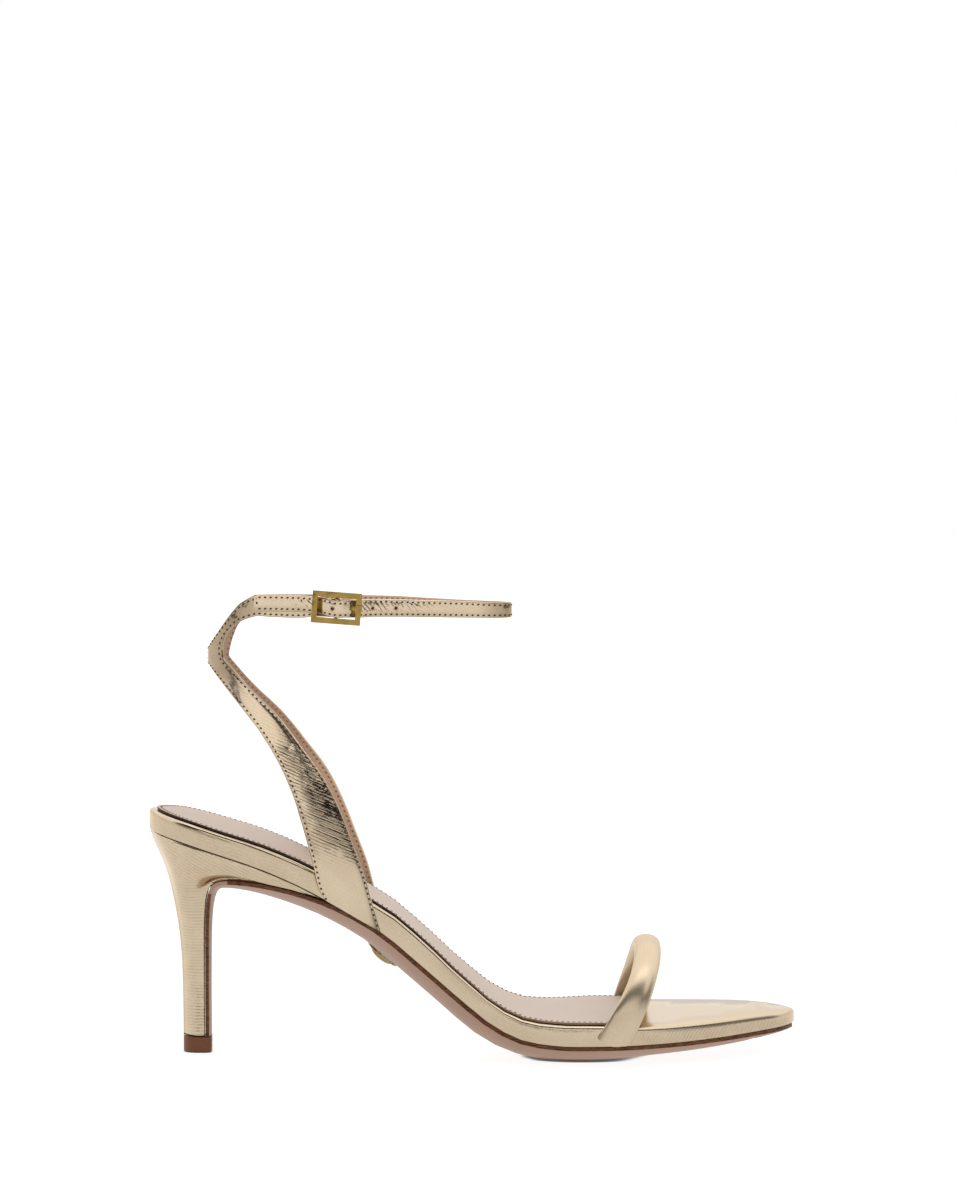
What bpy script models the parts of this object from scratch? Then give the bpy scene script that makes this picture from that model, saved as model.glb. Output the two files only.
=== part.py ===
"""Strappy heeled sandal for the right foot: metres, +Z up, toe towards +X, outer side towards -Y.

The last is described by three tables: the outline of the footbed seen from above, the seam between
footbed and sole seen from the side, and the heel with its breast. Footbed, sock, sole, heel and straps
are all worked out from them. Before the shoe is centred over its origin, x is measured from the back
of the heel.
"""

import math

import bmesh
import bpy
import numpy as np
from mathutils import Matrix, Vector

MM = 0.001
GAP = 0.3 * MM  # between pieces that touch

# Driving sizes
SOLE_LENGTH = 228.8 * MM
BALL_WIDTH = 77.2 * MM
SEAT_HEIGHT = 79.6 * MM
ANKLE_HEIGHT = 162.5 * MM
ANKLE_HALF = 14.2 * MM

FOOTBED_THICKNESS = 7.0 * MM
FOOTBED_EDGE_RADIUS = 1.4 * MM
SOCK_THICKNESS = 0.7 * MM
SOCK_INSET = 2.8 * MM
SOCK_END = 0.757  # share of the sole's length

SOLE_BELLY = 7.4 * MM  # depth of the sole from its top edge to its keel
SOLE_EDGE = 1.3 * MM
SOLE_INSET = 0.7 * MM
SOLE_CAMBER_ARCH = 2.4  # power of the underside's curve across: round under the arch
SOLE_CAMBER_BALL = 5.5  # nearly flat at the ball
CAMBER_FROM, CAMBER_TO = 0.45, 0.62  # shares of SOLE_LENGTH between which one turns into the other
SEAM_FROM = 0.035  # in front of the breast the sole follows the seam, a share of SOLE_LENGTH
SEAM_ROWS = 26

LIFT_HEIGHT = 5.6 * MM
LIFT_EDGE = 0.5 * MM
LIFT_ROUND = 2.2  # power of its round back
LIFT_CORNER = 0.22  # how much its front corners are taken in, a share of its half width

TOE_STRAP_WIDTH = 9.6 * MM
TOE_STRAP_THICKNESS = 6.2 * MM
TOE_STRAP_FOOT = 2.6 * MM  # its thickness where it is lasted to the sole's edge
TOE_STRAP_FLARE = 0.14  # its foot is wider by this share
TOE_STRAP_BASE = 0.16  # height of its upright part, a share of the arch's
TOE_STRAP_TURN = 12  # degrees at each end that make the upright part
TOE_ARCH_HEIGHT = 30.5 * MM

QUARTER_THICKNESS = 1.9 * MM
STRAP_THICKNESS = 1.3 * MM
CHAPE_THICKNESS = 0.8 * MM
STRAP_EDGE_RADIUS = 0.32 * MM
BACK_DEPTH = 14.5 * MM  # how far the round back of the ankle loop reaches forward
QUARTER_CLEAR = 1.5 * GAP

BUCKLE_LENGTH = 17.3 * MM
BUCKLE_HEIGHT = 11.2 * MM
BUCKLE_RAIL = 1.9 * MM
BUCKLE_DEPTH = 1.7 * MM
BUCKLE_EDGE = 0.3 * MM
BAR_RADIUS = 0.6 * MM
BAR_RECESS = 1.35 * MM
BAR_LUG = 2.2 * MM
BAR_OUT = 1.6 * MM  # out from the ankle loop
RAIL_PASS = 0.8 * MM  # the strap runs straight this far past a rail
RAIL_INSIDE = 1.0 * MM
RAIL_SWELL = 0.15 * MM
CHAPE_BACK = 5.0 * MM
CHAPE_END = 3.0 * MM
PRONG_WIDTH = 1.9 * MM
PRONG_THICKNESS = 0.8 * MM
HOLE_LENGTH = 4.8 * MM
HOLE_WIDTH = PRONG_WIDTH + 2 * GAP
HOLE_PLACE = 5.1 * MM  # from the centre bar forward

STUD_RADIUS = 6.6 * MM
STUD_FLANGE = 0.7 * MM
STUD_DOME = 1.7 * MM
STUD_PLACE = 0.384  # share of the sole's length
STUD_STAND = 2.5 * GAP  # clear of the rounded belly

STRAP_COLUMNS = 5  # points across each strap's outer face


def table(columns, rows):
    """A table with named columns, each one an array."""
    return dict(zip(columns.split(), np.array(rows, float).T))


# The footbed seen from above: along is a share of SOLE_LENGTH, lateral and medial are shares of BALL_WIDTH
OUTLINE = table("along lateral medial", [
    (0.000, 0.000, 0.000),
    (0.018, 0.171, 0.171),
    (0.050, 0.280, 0.280),
    (0.100, 0.342, 0.337),
    (0.180, 0.357, 0.349),
    (0.260, 0.345, 0.321),
    (0.350, 0.322, 0.270),
    (0.440, 0.325, 0.246),
    (0.520, 0.374, 0.282),
    (0.600, 0.452, 0.392),
    (0.660, 0.490, 0.470),
    (0.720, 0.494, 0.506),
    (0.800, 0.420, 0.494),
    (0.880, 0.290, 0.445),
    (0.940, 0.156, 0.356),
    (0.980, 0.038, 0.247),
    (1.000, -0.110, 0.110),
])

# The seam between footbed and sole seen from the side: along is a share of SOLE_LENGTH, seam of
# SEAT_HEIGHT, wall of FOOTBED_THICKNESS, belly of SOLE_BELLY
PROFILE = table("along seam wall belly", [
    (0.000, 1.000, 1.02, 1.00),
    (0.050, 0.967, 1.01, 1.00),
    (0.110, 0.916, 1.00, 1.00),
    (0.173, 0.855, 1.02, 1.00),
    (0.234, 0.778, 1.02, 0.97),
    (0.300, 0.673, 0.99, 0.98),
    (0.357, 0.576, 0.97, 0.99),
    (0.419, 0.427, 0.98, 1.00),
    (0.480, 0.277, 0.88, 0.99),
    (0.530, 0.166, 0.88, 0.99),
    (0.573, 0.108, 0.96, 0.96),
    (0.620, 0.088, 1.01, 0.95),
    (0.700, 0.087, 1.00, 0.94),
    (0.760, 0.089, 0.90, 0.78),
    (0.850, 0.096, 0.85, 0.64),
    (0.940, 0.109, 0.79, 0.44),
    (1.000, 0.118, 0.67, 0.21),
])

# The heel, a row for each section from the lift up to the seat: back and breast are shares of SOLE_LENGTH,
# back_height and breast_height of SEAT_HEIGHT, half_width of BALL_WIDTH, belly of SOLE_BELLY
HEEL = table("back back_height breast breast_height half_width belly", [
    (0.0517, 0.000, 0.0857, 0.000, 0.072, 0.27),
    (0.0512, 0.250, 0.0855, 0.250, 0.075, 0.27),
    (0.0498, 0.400, 0.0857, 0.400, 0.082, 0.27),
    (0.0462, 0.530, 0.0860, 0.545, 0.095, 0.28),
    (0.0412, 0.625, 0.0876, 0.655, 0.118, 0.31),
    (0.0360, 0.700, 0.0912, 0.722, 0.152, 0.38),
    (0.0310, 0.765, 0.0985, 0.764, 0.196, 0.46),
    (0.0245, 0.825, 0.1120, 0.787, 0.244, 0.51),
    (0.0165, 0.880, 0.1370, 0.793, 0.290, 0.58),
    (0.0095, 0.922, 0.1750, 0.783, 0.323, 0.70),
    (0.0045, 0.958, 0.2200, 0.757, 0.341, 0.84),
    (0.0010, 0.987, 0.2720, 0.709, 0.350, 0.95),
])
for height in ("back_height", "breast_height"):
    HEEL[height][0] = (LIFT_HEIGHT + GAP) / SEAT_HEIGHT  # the lowest section stands on the lift
HEEL_BACK_ROUND = 1.7  # rounds the back of the lowest section more than the seat's

# The near and far quarter straps up to the ankle: shares of SOLE_LENGTH and of ANKLE_HEIGHT for the strap's
# back edge and front edge, and how much lower and further forward the medial strap lies
QUARTER = table("back back_height front front_height medial_down medial_forward", [
    (0.2752, 0.350, 0.3590, 0.283, 0.0000, 0.0000),
    (0.2650, 0.377, 0.3486, 0.334, 0.0000, 0.0000),
    (0.2558, 0.432, 0.3354, 0.402, 0.0000, 0.0000),
    (0.2484, 0.473, 0.3204, 0.458, 0.0000, 0.0000),
    (0.2387, 0.521, 0.2971, 0.543, 0.0000, 0.0000),
    (0.2233, 0.585, 0.2716, 0.613, 0.0000, 0.0000),
    (0.2018, 0.649, 0.2387, 0.677, 0.0015, 0.0000),
    (0.1723, 0.714, 0.2031, 0.741, 0.0030, 0.0000),
    (0.1411, 0.767, 0.1644, 0.794, 0.0035, 0.0000),
    (0.1095, 0.819, 0.1310, 0.842, 0.0020, 0.0000),
    (0.0962, 0.843, 0.1174, 0.861, 0.0000, 0.0015),
    (0.0923, 0.853, 0.1147, 0.869, 0.0000, 0.0045),
    (0.0923, 0.867, 0.1134, 0.882, 0.0000, 0.0080),
    (0.0923, 0.881, 0.1143, 0.896, 0.0000, 0.0100),
    (0.0962, 0.895, 0.1169, 0.908, 0.0030, 0.0100),
    (0.1095, 0.925, 0.1270, 0.929, 0.0060, 0.0055),
    (0.1253, 0.957, 0.1398, 0.943, 0.0070, 0.0010),
    (0.1411, 0.983, 0.1521, 0.951, 0.0075, 0.0000),
    (0.1569, 0.996, 0.1644, 0.956, 0.0075, 0.0000),
    (0.1662, 1.000, 0.1697, 0.958, 0.0070, 0.0000),
])
BACK_SEAM_ROWS = (11, 12, 13)  # rows of QUARTER whose back edge lies on the seam behind the ankle

# The strap's long end, from the inner ankle round the front and back through the buckle: along is a
# share of SOLE_LENGTH, across of ANKLE_HALF, top and bottom of ANKLE_HEIGHT
LONG_STRAP = table("along across top bottom", [
    (0.200, 1.014, 0.9935, 0.9515),
    (0.245, 1.006, 0.993, 0.951),
    (0.290, 0.958, 0.993, 0.951),
    (0.335, 0.894, 0.992, 0.952),
    (0.385, 0.735, 0.991, 0.952),
    (0.435, 0.540, 0.988, 0.951),
    (0.485, 0.380, 0.985, 0.950),
    (0.525, 0.315, 0.983, 0.949),
    (0.549, 0.235, 0.982, 0.949),
    (0.560, 0.000, 0.982, 0.949),
    (0.549, -0.235, 0.982, 0.949),
    (0.525, -0.315, 0.983, 0.949),
    (0.485, -0.380, 0.986, 0.950),
    (0.435, -0.540, 0.989, 0.952),
    (0.390, -0.730, 0.992, 0.954),
    (0.352, -0.925, 0.994, 0.955),
])
TAIL_END = 0.165  # where the long end stops, a share of SOLE_LENGTH
TAIL_TOP, TAIL_BOTTOM = 1.001, 0.965
TAIL_RISE = 0.65 * MM  # how far the long end climbs from the buckle to its tip
BAR_TOP, BAR_BOTTOM = 0.9925, 0.956  # the strap's edges where it crosses the centre bar

BUCKLE_PLACE = 0.2915  # the centre bar, a share of SOLE_LENGTH
BUCKLE_MIDDLE = 0.9765  # its height, a share of ANKLE_HEIGHT
BUCKLE_TILT = math.radians(4.3)

# The toe strap's middle line: base places are shares of SOLE_LENGTH
TOE_STRAP_OUTER = 0.7100
TOE_STRAP_INNER = 0.7380
TOE_STRAP_CREST = 0.7700


def through(points, steps, before=None, after=None):
    """A centripetal Catmull-Rom curve through the points, with so many steps to a span."""
    points = np.array(points, float)
    before = 2 * points[0] - points[1] if before is None else np.array(before, float)
    after = 2 * points[-1] - points[-2] if after is None else np.array(after, float)
    knots = np.vstack([before, points, after])
    curve = []
    for p0, p1, p2, p3 in zip(knots, knots[1:], knots[2:], knots[3:]):
        t1 = math.sqrt(np.linalg.norm(p1 - p0)) + 1e-9
        t2 = t1 + math.sqrt(np.linalg.norm(p2 - p1)) + 1e-9
        t3 = t2 + math.sqrt(np.linalg.norm(p3 - p2)) + 1e-9
        for t in np.linspace(t1, t2, steps, endpoint=False):
            a1 = (t1 - t) / t1 * p0 + t / t1 * p1
            a2 = (t2 - t) / (t2 - t1) * p1 + (t - t1) / (t2 - t1) * p2
            a3 = (t3 - t) / (t3 - t2) * p2 + (t - t2) / (t3 - t2) * p3
            b1 = (t2 - t) / t2 * a1 + t / t2 * a2
            b2 = (t3 - t) / (t3 - t1) * a2 + (t - t1) / (t3 - t1) * a3
            curve.append((t2 - t) / (t2 - t1) * b1 + (t - t1) / (t2 - t1) * b2)
    curve.append(points[-1])
    return np.array(curve)


def read(source, column, along):
    """A smooth reading of one column of a table at these places."""
    x, y = source["along"], source[column]
    slope = np.gradient(y, x)
    along = np.clip(along, x[0], x[-1])
    k = np.clip(np.searchsorted(x, along, side="right") - 1, 0, len(x) - 2)
    span = x[k + 1] - x[k]
    t = (along - x[k]) / span
    rise = y[k] * (1 + 2 * t) * (1 - t) ** 2 + y[k + 1] * t * t * (3 - 2 * t)
    return rise + span * (slope[k] * t * (1 - t) ** 2 - slope[k + 1] * t * t * (1 - t))


def loft(sections, cap_start=True, cap_end=True):
    """One closed mesh through sections of equal numbers of points. Points that meet are merged."""
    mesh = bmesh.new()
    rings = [[mesh.verts.new(tuple(p)) for p in section] for section in sections]
    for low, high in zip(rings, rings[1:]):
        for k in range(len(low)):
            n = (k + 1) % len(low)
            mesh.faces.new((low[k], low[n], high[n], high[k]))
    for ring, wanted in ((rings[0], cap_start), (rings[-1], cap_end)):
        if wanted:
            cap(mesh, ring)
    bmesh.ops.remove_doubles(mesh, verts=mesh.verts, dist=0.01 * MM)
    bmesh.ops.dissolve_degenerate(mesh, edges=mesh.edges, dist=0.005 * MM)
    bmesh.ops.recalc_face_normals(mesh, faces=mesh.faces)
    return mesh


def cap(mesh, ring):
    """Closes a ring with rungs from each point to its partner on the other side."""
    count = len(ring)
    pairs = [(ring[k], ring[-k] if k else ring[0]) for k in range((count + 1) // 2)]
    if count % 2 == 0:
        pairs.append((ring[count // 2], ring[count // 2]))
    for (a, b), (c, d) in zip(pairs, pairs[1:]):
        corners = []
        for corner in (a, c, d, b):
            if corner not in corners:
                corners.append(corner)
        mesh.faces.new(corners)


def leather(name, colour, roughness, metallic=0.0):
    """A plain material with the piece's colour."""
    material = bpy.data.materials.new(name)
    material.use_nodes = True
    shader = material.node_tree.nodes["Principled BSDF"]
    shader.inputs["Base Color"].default_value = (*colour, 1.0)
    shader.inputs["Roughness"].default_value = roughness
    shader.inputs["Metallic"].default_value = metallic
    material.diffuse_color = (*colour, 1.0)
    return material


def piece(name, mesh, material, collection, shoe):
    """Makes a bmesh or a mesh into a named object of the shoe."""
    if isinstance(mesh, bmesh.types.BMesh):
        data = bpy.data.meshes.new(name)
        mesh.to_mesh(data)
        mesh.free()
    else:
        data = mesh
    data.name = name
    data.shade_smooth()
    data.set_sharp_from_angle(angle=math.radians(40))
    data.materials.clear()
    data.materials.append(material)
    made = bpy.data.objects.new(name, data)
    made.parent = shoe
    collection.objects.link(made)
    return made


def cutter(name, mesh, cutters, shoe):
    """Makes a bmesh into a cutter, which is left out of the shoe."""
    data = bpy.data.meshes.new(name)
    mesh.to_mesh(data)
    mesh.free()
    made = bpy.data.objects.new(name, data)
    made.hide_render = True
    made.display_type = "WIRE"
    made.parent = shoe
    cutters.objects.link(made)
    return made


def cut(made, tool, operation="DIFFERENCE"):
    """Cuts one object by another, or joins them."""
    modifier = made.modifiers.new(tool.name, "BOOLEAN")
    modifier.operation = operation
    modifier.solver = "EXACT"
    modifier.object = tool


# The last: outline, seam and sole path


def outline_side(side, steps=3):
    """The footbed's outline on one side, from the heel's back to the toe tip, as x and y."""
    sign = -1 if side == "lateral" else 1
    points = np.column_stack([OUTLINE["along"] * SOLE_LENGTH, sign * OUTLINE[side] * BALL_WIDTH])
    before = points[1] * (1, -1)
    after = (points[-2][0], 2 * points[-1][1] - points[-2][1])
    return through(points, steps, before, after)


def inset_side(side, distance, steps=3):
    """The outline on one side moved inwards."""
    points = outline_side(side, steps)
    run = np.gradient(points, axis=0)
    run[0] = (0, -1) if side == "lateral" else (0, 1)
    run[-1] = -run[0]
    run /= np.linalg.norm(run, axis=1)[:, None]
    turn = 1 if side == "lateral" else -1
    inwards = np.column_stack([-run[:, 1], run[:, 0]]) * turn
    return points + inwards * distance


def half_width(side, x):
    """Distance from the middle line to the footbed's wall on one side."""
    return read(OUTLINE, side, x / SOLE_LENGTH) * BALL_WIDTH


def seam(x):
    """Height of the seam between footbed and sole."""
    return read(PROFILE, "seam", x / SOLE_LENGTH) * SEAT_HEIGHT


def wall(x):
    """Height of the footbed over the seam, more where the seam is steep."""
    step = 0.5 * MM
    slope = (seam(x + step) - seam(x - step)) / (2 * step)
    return read(PROFILE, "wall", x / SOLE_LENGTH) * FOOTBED_THICKNESS * np.sqrt(1 + slope ** 2)


def footbed_top(x):
    """Height of the footbed's upper face."""
    return seam(x) + wall(x)


def heel_half(row_half, side):
    """The heel's half width at the breast for one side, narrower than its widest place as the seat is."""
    front = HEEL["breast"][-1] * SOLE_LENGTH
    widest = max(OUTLINE["lateral"][:6]) * BALL_WIDTH
    return row_half * half_width(side, front) / widest


def sole_path():
    """The line on which the sole lies: up the heel's breast, then along the seam to the toe.

    Each row holds x, z, lateral half width, medial half width and belly.
    """
    half = HEEL["half_width"] * BALL_WIDTH
    breast = np.column_stack([
        HEEL["breast"] * SOLE_LENGTH,
        HEEL["breast_height"] * SEAT_HEIGHT,
        heel_half(half, "lateral"),
        heel_half(half, "medial"),
        HEEL["belly"] * SOLE_BELLY,
    ])
    along = np.linspace(HEEL["breast"][-1] + SEAM_FROM, 1.0, SEAM_ROWS)
    x = along * SOLE_LENGTH
    forward = np.column_stack([
        x,
        seam(x),
        half_width("lateral", x),
        half_width("medial", x),
        read(PROFILE, "belly", along) * SOLE_BELLY,
    ])
    return through(np.vstack([breast, forward]), 6)


PATH = sole_path()
PATH_RUN = np.concatenate([[0], np.cumsum(np.linalg.norm(np.diff(PATH[:, :2], axis=0), axis=1))])
PATH_UP = np.gradient(PATH[:, :2], PATH_RUN, axis=0)
PATH_UP = np.column_stack([-PATH_UP[:, 1], PATH_UP[:, 0]])
PATH_TURN = int(np.argmin(np.abs(PATH[:, 0] - (HEEL["breast"][-1] + SEAM_FROM) * SOLE_LENGTH)))


def on_path(run, y, height):
    """A point over the sole's path, at this distance along it."""
    x = np.interp(run, PATH_RUN, PATH[:, 0])
    z = np.interp(run, PATH_RUN, PATH[:, 1])
    up_x = np.interp(run, PATH_RUN, PATH_UP[:, 0])
    up_z = np.interp(run, PATH_RUN, PATH_UP[:, 1])
    return np.array([x + up_x * height, y, z + up_z * height])


def run_at(x):
    """Distance along the path, for a place in front of the heel."""
    return float(np.interp(x, PATH[PATH_TURN:, 0], PATH_RUN[PATH_TURN:]))


# Bottom pieces


def footbed():
    """The wrapped board: flat below, a straight wall, a rounded upper edge and a gently dished top."""
    steps_round = 3
    levels = [(0.25 * MM, 0.0, 0.0), (0.0, 0.0, 0.35 * MM)]
    for k in range(steps_round + 1):
        angle = math.pi / 2 * k / steps_round
        inset = FOOTBED_EDGE_RADIUS * (1 - math.cos(angle))
        levels.append((inset, 1.0, -FOOTBED_EDGE_RADIUS * (1 - math.sin(angle))))
    across = np.linspace(-1, 1, 7)[1:-1]
    sides = {side: [inset_side(side, level[0]) for level in levels] for side in ("lateral", "medial")}
    sections = []
    for k in range(len(sides["lateral"][0])):
        edge = {}
        for side, rings in sides.items():
            edge[side] = [
                (ring[k][0], ring[k][1], seam(ring[k][0]) + share * wall(ring[k][0]) + rise)
                for ring, (inset, share, rise) in zip(rings, levels)
            ]
        near, far = edge["lateral"], edge["medial"]
        top = [between(near[-1], far[-1], t, footbed_top) for t in across]
        bottom = [between(near[0], far[0], t, seam) for t in across]
        sections.append(near + top + far[::-1] + bottom[::-1])
    return loft(sections, False, False)


def between(a, b, t, height):
    """A point between two others, at the height of a surface."""
    share = (t + 1) / 2
    x = a[0] + (b[0] - a[0]) * share
    return (x, a[1] + (b[1] - a[1]) * share, height(x))


def sock_lining():
    """A thin sheet on the footbed, cut off in a shallow curve in front of the toe strap."""
    across = np.linspace(-1, 1, 7)
    near = inset_side("lateral", SOCK_INSET)
    far = inset_side("medial", SOCK_INSET)
    end = SOCK_END * SOLE_LENGTH
    count = int(np.sum(near[:, 0] < end))
    sections = []
    for k in range(count + 1):
        if k < count:
            a, b = near[k], far[k]
        else:
            a = (end, np.interp(end, near[:, 0], near[:, 1]))
            b = (end, np.interp(end, far[:, 0], far[:, 1]))
        low = [between(a, b, t, lambda x: footbed_top(x) + GAP) for t in across]
        high = [between(a, b, t, lambda x: footbed_top(x) + GAP + SOCK_THICKNESS) for t in across]
        sections.append(high + low[::-1])
    return loft(sections, False, True)


def outsole():
    """The leather sole: flat on top, with an upright edge and a cambered underside, flat at the ball."""
    across = (-0.97, -0.88, -0.7, -0.45, -0.18, 0.18, 0.45, 0.7, 0.88, 0.97)
    stations = []
    for row, run in zip(PATH[:PATH_TURN:3], PATH_RUN[:PATH_TURN:3]):
        stations.append((run, -row[2] + SOLE_INSET / 2, run, row[3] - SOLE_INSET / 2, row[4]))
    near = inset_side("lateral", SOLE_INSET)
    far = inset_side("medial", SOLE_INSET)
    for a, b in zip(near, far):
        if a[0] > PATH[PATH_TURN][0] + 1 * MM:
            belly = read(PROFILE, "belly", a[0] / SOLE_LENGTH) * SOLE_BELLY
            stations.append((run_at(a[0]), a[1], run_at(b[0]), b[1], belly))
    sections = []
    for run_a, y_a, run_b, y_b, belly in stations:
        along = np.interp(run_a, PATH_RUN, PATH[:, 0]) / SOLE_LENGTH
        share = np.interp(along, (CAMBER_FROM, CAMBER_TO), (0, 1))
        power = SOLE_CAMBER_ARCH + (SOLE_CAMBER_BALL - SOLE_CAMBER_ARCH) * share

        def at(t, height):
            k = (t + 1) / 2
            point = on_path(run_a + (run_b - run_a) * k, y_a + (y_b - y_a) * k, height - GAP)
            point[2] = max(point[2], 0.0)
            return point

        edge = min(SOLE_EDGE, belly * 0.6)
        top = [at(t, 0.0) for t in (-1, -0.5, 0, 0.5, 1)]
        under = [at(t, -edge - (belly - edge) * (1 - abs(t) ** power)) for t in across]
        sections.append(top + [at(1, -edge)] + under[::-1] + [at(-1, -edge)])
    return loft(sections, True, False)


def heel():
    """The covered heel block, a section for each row of its table and one between each two."""
    rows = np.column_stack([
        HEEL["back"] * SOLE_LENGTH,
        HEEL["back_height"] * SEAT_HEIGHT,
        HEEL["breast"] * SOLE_LENGTH,
        HEEL["breast_height"] * SEAT_HEIGHT,
        HEEL["half_width"] * BALL_WIDTH,
    ])
    rows = through(rows, 2)
    top = rows[-1]
    widest = max(OUTLINE["lateral"][:6]) * BALL_WIDTH
    shares = [(1 - math.cos(math.pi / 2 * k / 12)) for k in range(13)]
    sections = []
    for level, row in enumerate(rows):
        rise = level / (len(rows) - 1)
        power = HEEL_BACK_ROUND + (1 - HEEL_BACK_ROUND) * rise
        bow = max(0.0, (rise - 0.6) / 0.4) ** 2
        edge = {"lateral": [], "medial": []}
        for side, sign in (("lateral", -1), ("medial", 1)):
            for share in shares:
                place = share ** power
                seat = top[0] + (top[2] - top[0]) * place
                x = row[0] + (row[2] - row[0]) * share
                chord = top[1] + (top[3] - top[1]) * share
                z = row[1] + (row[3] - row[1]) * share
                z += bow * (seam(top[0] + (top[2] - top[0]) * share) - GAP - chord)
                y = sign * half_width(side, max(seat, 0.0)) * row[4] / widest
                edge[side].append((x, y if share else 0.0, z))
        sections.append(edge["lateral"] + edge["medial"][:0:-1])
    return loft(sections)


def top_lift():
    """The lift under heel and sole flap, a D with softened edges."""
    back = HEEL["back"][0] * SOLE_LENGTH
    front = HEEL["breast"][0] * SOLE_LENGTH + GAP + HEEL["belly"][0] * SOLE_BELLY
    half = HEEL["half_width"][0] * BALL_WIDTH
    sections = []
    for z, inset in ((0.0, LIFT_EDGE), (LIFT_EDGE, 0.0), (LIFT_HEIGHT, 0.0)):
        near, far = [], []
        for k in range(13):
            share = (1 - math.cos(math.pi * k / 12)) / 2
            bulge = math.sqrt(1 - abs(2 * min(share, 0.5) - 1) ** LIFT_ROUND)
            corner = 1 - LIFT_CORNER * max(0.0, (share - 0.8) / 0.2) ** 3
            x = back + inset + (front - back - 2 * inset) * share
            near.append((x, -(half - inset) * bulge * corner, z))
            far.append((x, (half - inset) * bulge * corner, z))
        sections.append(near + far[:0:-1])
    return loft(sections)


# Straps


def toe_strap():
    """A padded tube over the toes, flattened where it is lasted to the sole's edge."""
    outer, inner, crest = (SOLE_LENGTH * v for v in (TOE_STRAP_OUTER, TOE_STRAP_INNER, TOE_STRAP_CREST))
    turn = TOE_STRAP_TURN
    angles = np.radians(np.concatenate([
        np.linspace(-turn, 30, 8),
        np.linspace(38, 142, 14),
        np.linspace(150, 180 + turn, 8),
    ]))
    middle = []
    for angle in angles:
        base = outer if angle < math.pi / 2 else inner
        side = "lateral" if angle < math.pi / 2 else "medial"
        stand = half_width(side, base) + GAP + TOE_STRAP_FOOT / 2
        low = seam(base) + GAP
        shoulder = low + TOE_STRAP_BASE * TOE_ARCH_HEIGHT
        lift = math.sin(angle)
        if lift < 0:
            z = shoulder + (shoulder - low) * lift / math.sin(math.radians(turn))
            y = stand
        else:
            z = shoulder + (TOE_ARCH_HEIGHT + seam(base) - shoulder) * lift ** 0.92
            y = stand * abs(math.cos(angle)) ** 0.82
        rise = max(0.0, (z - low) / TOE_ARCH_HEIGHT)
        x = base + (crest - base) * (1 - (1 - min(rise, 1.0)) ** 1.35)
        middle.append((x, -y if side == "lateral" else y, z))
    middle = np.array(middle)
    run = np.gradient(middle, axis=0)
    run /= np.linalg.norm(run, axis=1)[:, None]
    tube = []
    for k, (point, tangent) in enumerate(zip(middle, run)):
        end = min(k, len(middle) - 1 - k)
        swell = min(1.0, max(0.0, (end - 2) / 7))
        swell = swell * swell * (3 - 2 * swell)
        thick = TOE_STRAP_FOOT + (TOE_STRAP_THICKNESS - TOE_STRAP_FOOT) * swell
        wide = TOE_STRAP_WIDTH * (1 + TOE_STRAP_FLARE * (1 - swell))
        side = np.array([1.0, 0, 0]) - tangent * tangent[0]
        side /= np.linalg.norm(side)
        out = np.cross(tangent, side)
        out *= np.sign(out[1] * point[1] + out[2] * TOE_STRAP_WIDTH) or 1
        point = point + out * (thick - TOE_STRAP_FOOT) * 0.1
        power = 0.75 + 0.25 * swell
        ring = []
        for a in np.radians(np.arange(0, 360, 22.5)):
            c, s = math.cos(a), math.sin(a)
            u = math.copysign(abs(c) ** power, c) * wide / 2
            v = math.copysign(abs(s) ** power, s) * thick / 2
            spot = point + side * u + out * v
            spot[2] = max(spot[2], seam(spot[0]) + GAP)
            ring.append(spot)
        tube.append(ring)
    return loft(tube)


def spread(side, x, z):
    """Distance of the quarter straps from the middle: against the footbed below, round the ankle above."""
    low = footbed_top(x)
    high = QUARTER["back_height"][BACK_SEAM_ROWS[0]] * ANKLE_HEIGHT
    rise = np.clip((z - low) / (high - low), 0, 1)
    lean = rise * rise * (3 - 2 * rise)
    foot = half_width(side, x) + QUARTER_CLEAR + QUARTER_THICKNESS
    reach = foot + (ANKLE_HALF - foot) * lean
    back = QUARTER["back"][BACK_SEAM_ROWS[0]] * SOLE_LENGTH
    t = np.clip((x - back) / BACK_DEPTH, 0, 1)
    return reach * math.sqrt(1 - (1 - t) ** 2)


def quarter_sheet(side, steps=2):
    """Rows of points over one quarter strap, from its foot to the ankle, with each row's thickness."""
    sign = -1 if side == "lateral" else 1
    edges = np.column_stack([
        QUARTER["back"] * SOLE_LENGTH,
        QUARTER["back_height"] * ANKLE_HEIGHT,
        QUARTER["front"] * SOLE_LENGTH,
        QUARTER["front_height"] * ANKLE_HEIGHT,
    ])
    if side == "medial":
        down = QUARTER["medial_down"] * ANKLE_HEIGHT
        edges -= np.column_stack([0 * down, down, -QUARTER["medial_forward"] * SOLE_LENGTH, down])
    edges = through(edges, steps)
    seam_x = QUARTER["back"][BACK_SEAM_ROWS[0]] * SOLE_LENGTH
    first, last = BACK_SEAM_ROWS[0] * steps, BACK_SEAM_ROWS[-1] * steps
    sheet = []
    for k, (back_x, back_z, front_x, front_z) in enumerate(edges):
        if first <= k <= last:
            back_x = seam_x
        row = []
        for share in np.linspace(0, 1, STRAP_COLUMNS):
            x = back_x + (front_x - back_x) * share
            z = back_z + (front_z - back_z) * share
            if k == 0:
                z = seam(x) + GAP
            row.append((x, sign * spread(side, x, z), z))
        rise = k / (len(edges) - 1)
        sheet.append((row, QUARTER_THICKNESS + (STRAP_THICKNESS - QUARTER_THICKNESS) * rise))
    return sheet


def upright_sheet(course, thickness):
    """Rows of points over a strap that stands upright, from x, y, top and bottom."""
    return [
        ([(x, y, top + (bottom - top) * share) for share in np.linspace(0, 1, STRAP_COLUMNS)], thickness)
        for x, y, top, bottom in course
    ]


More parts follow.
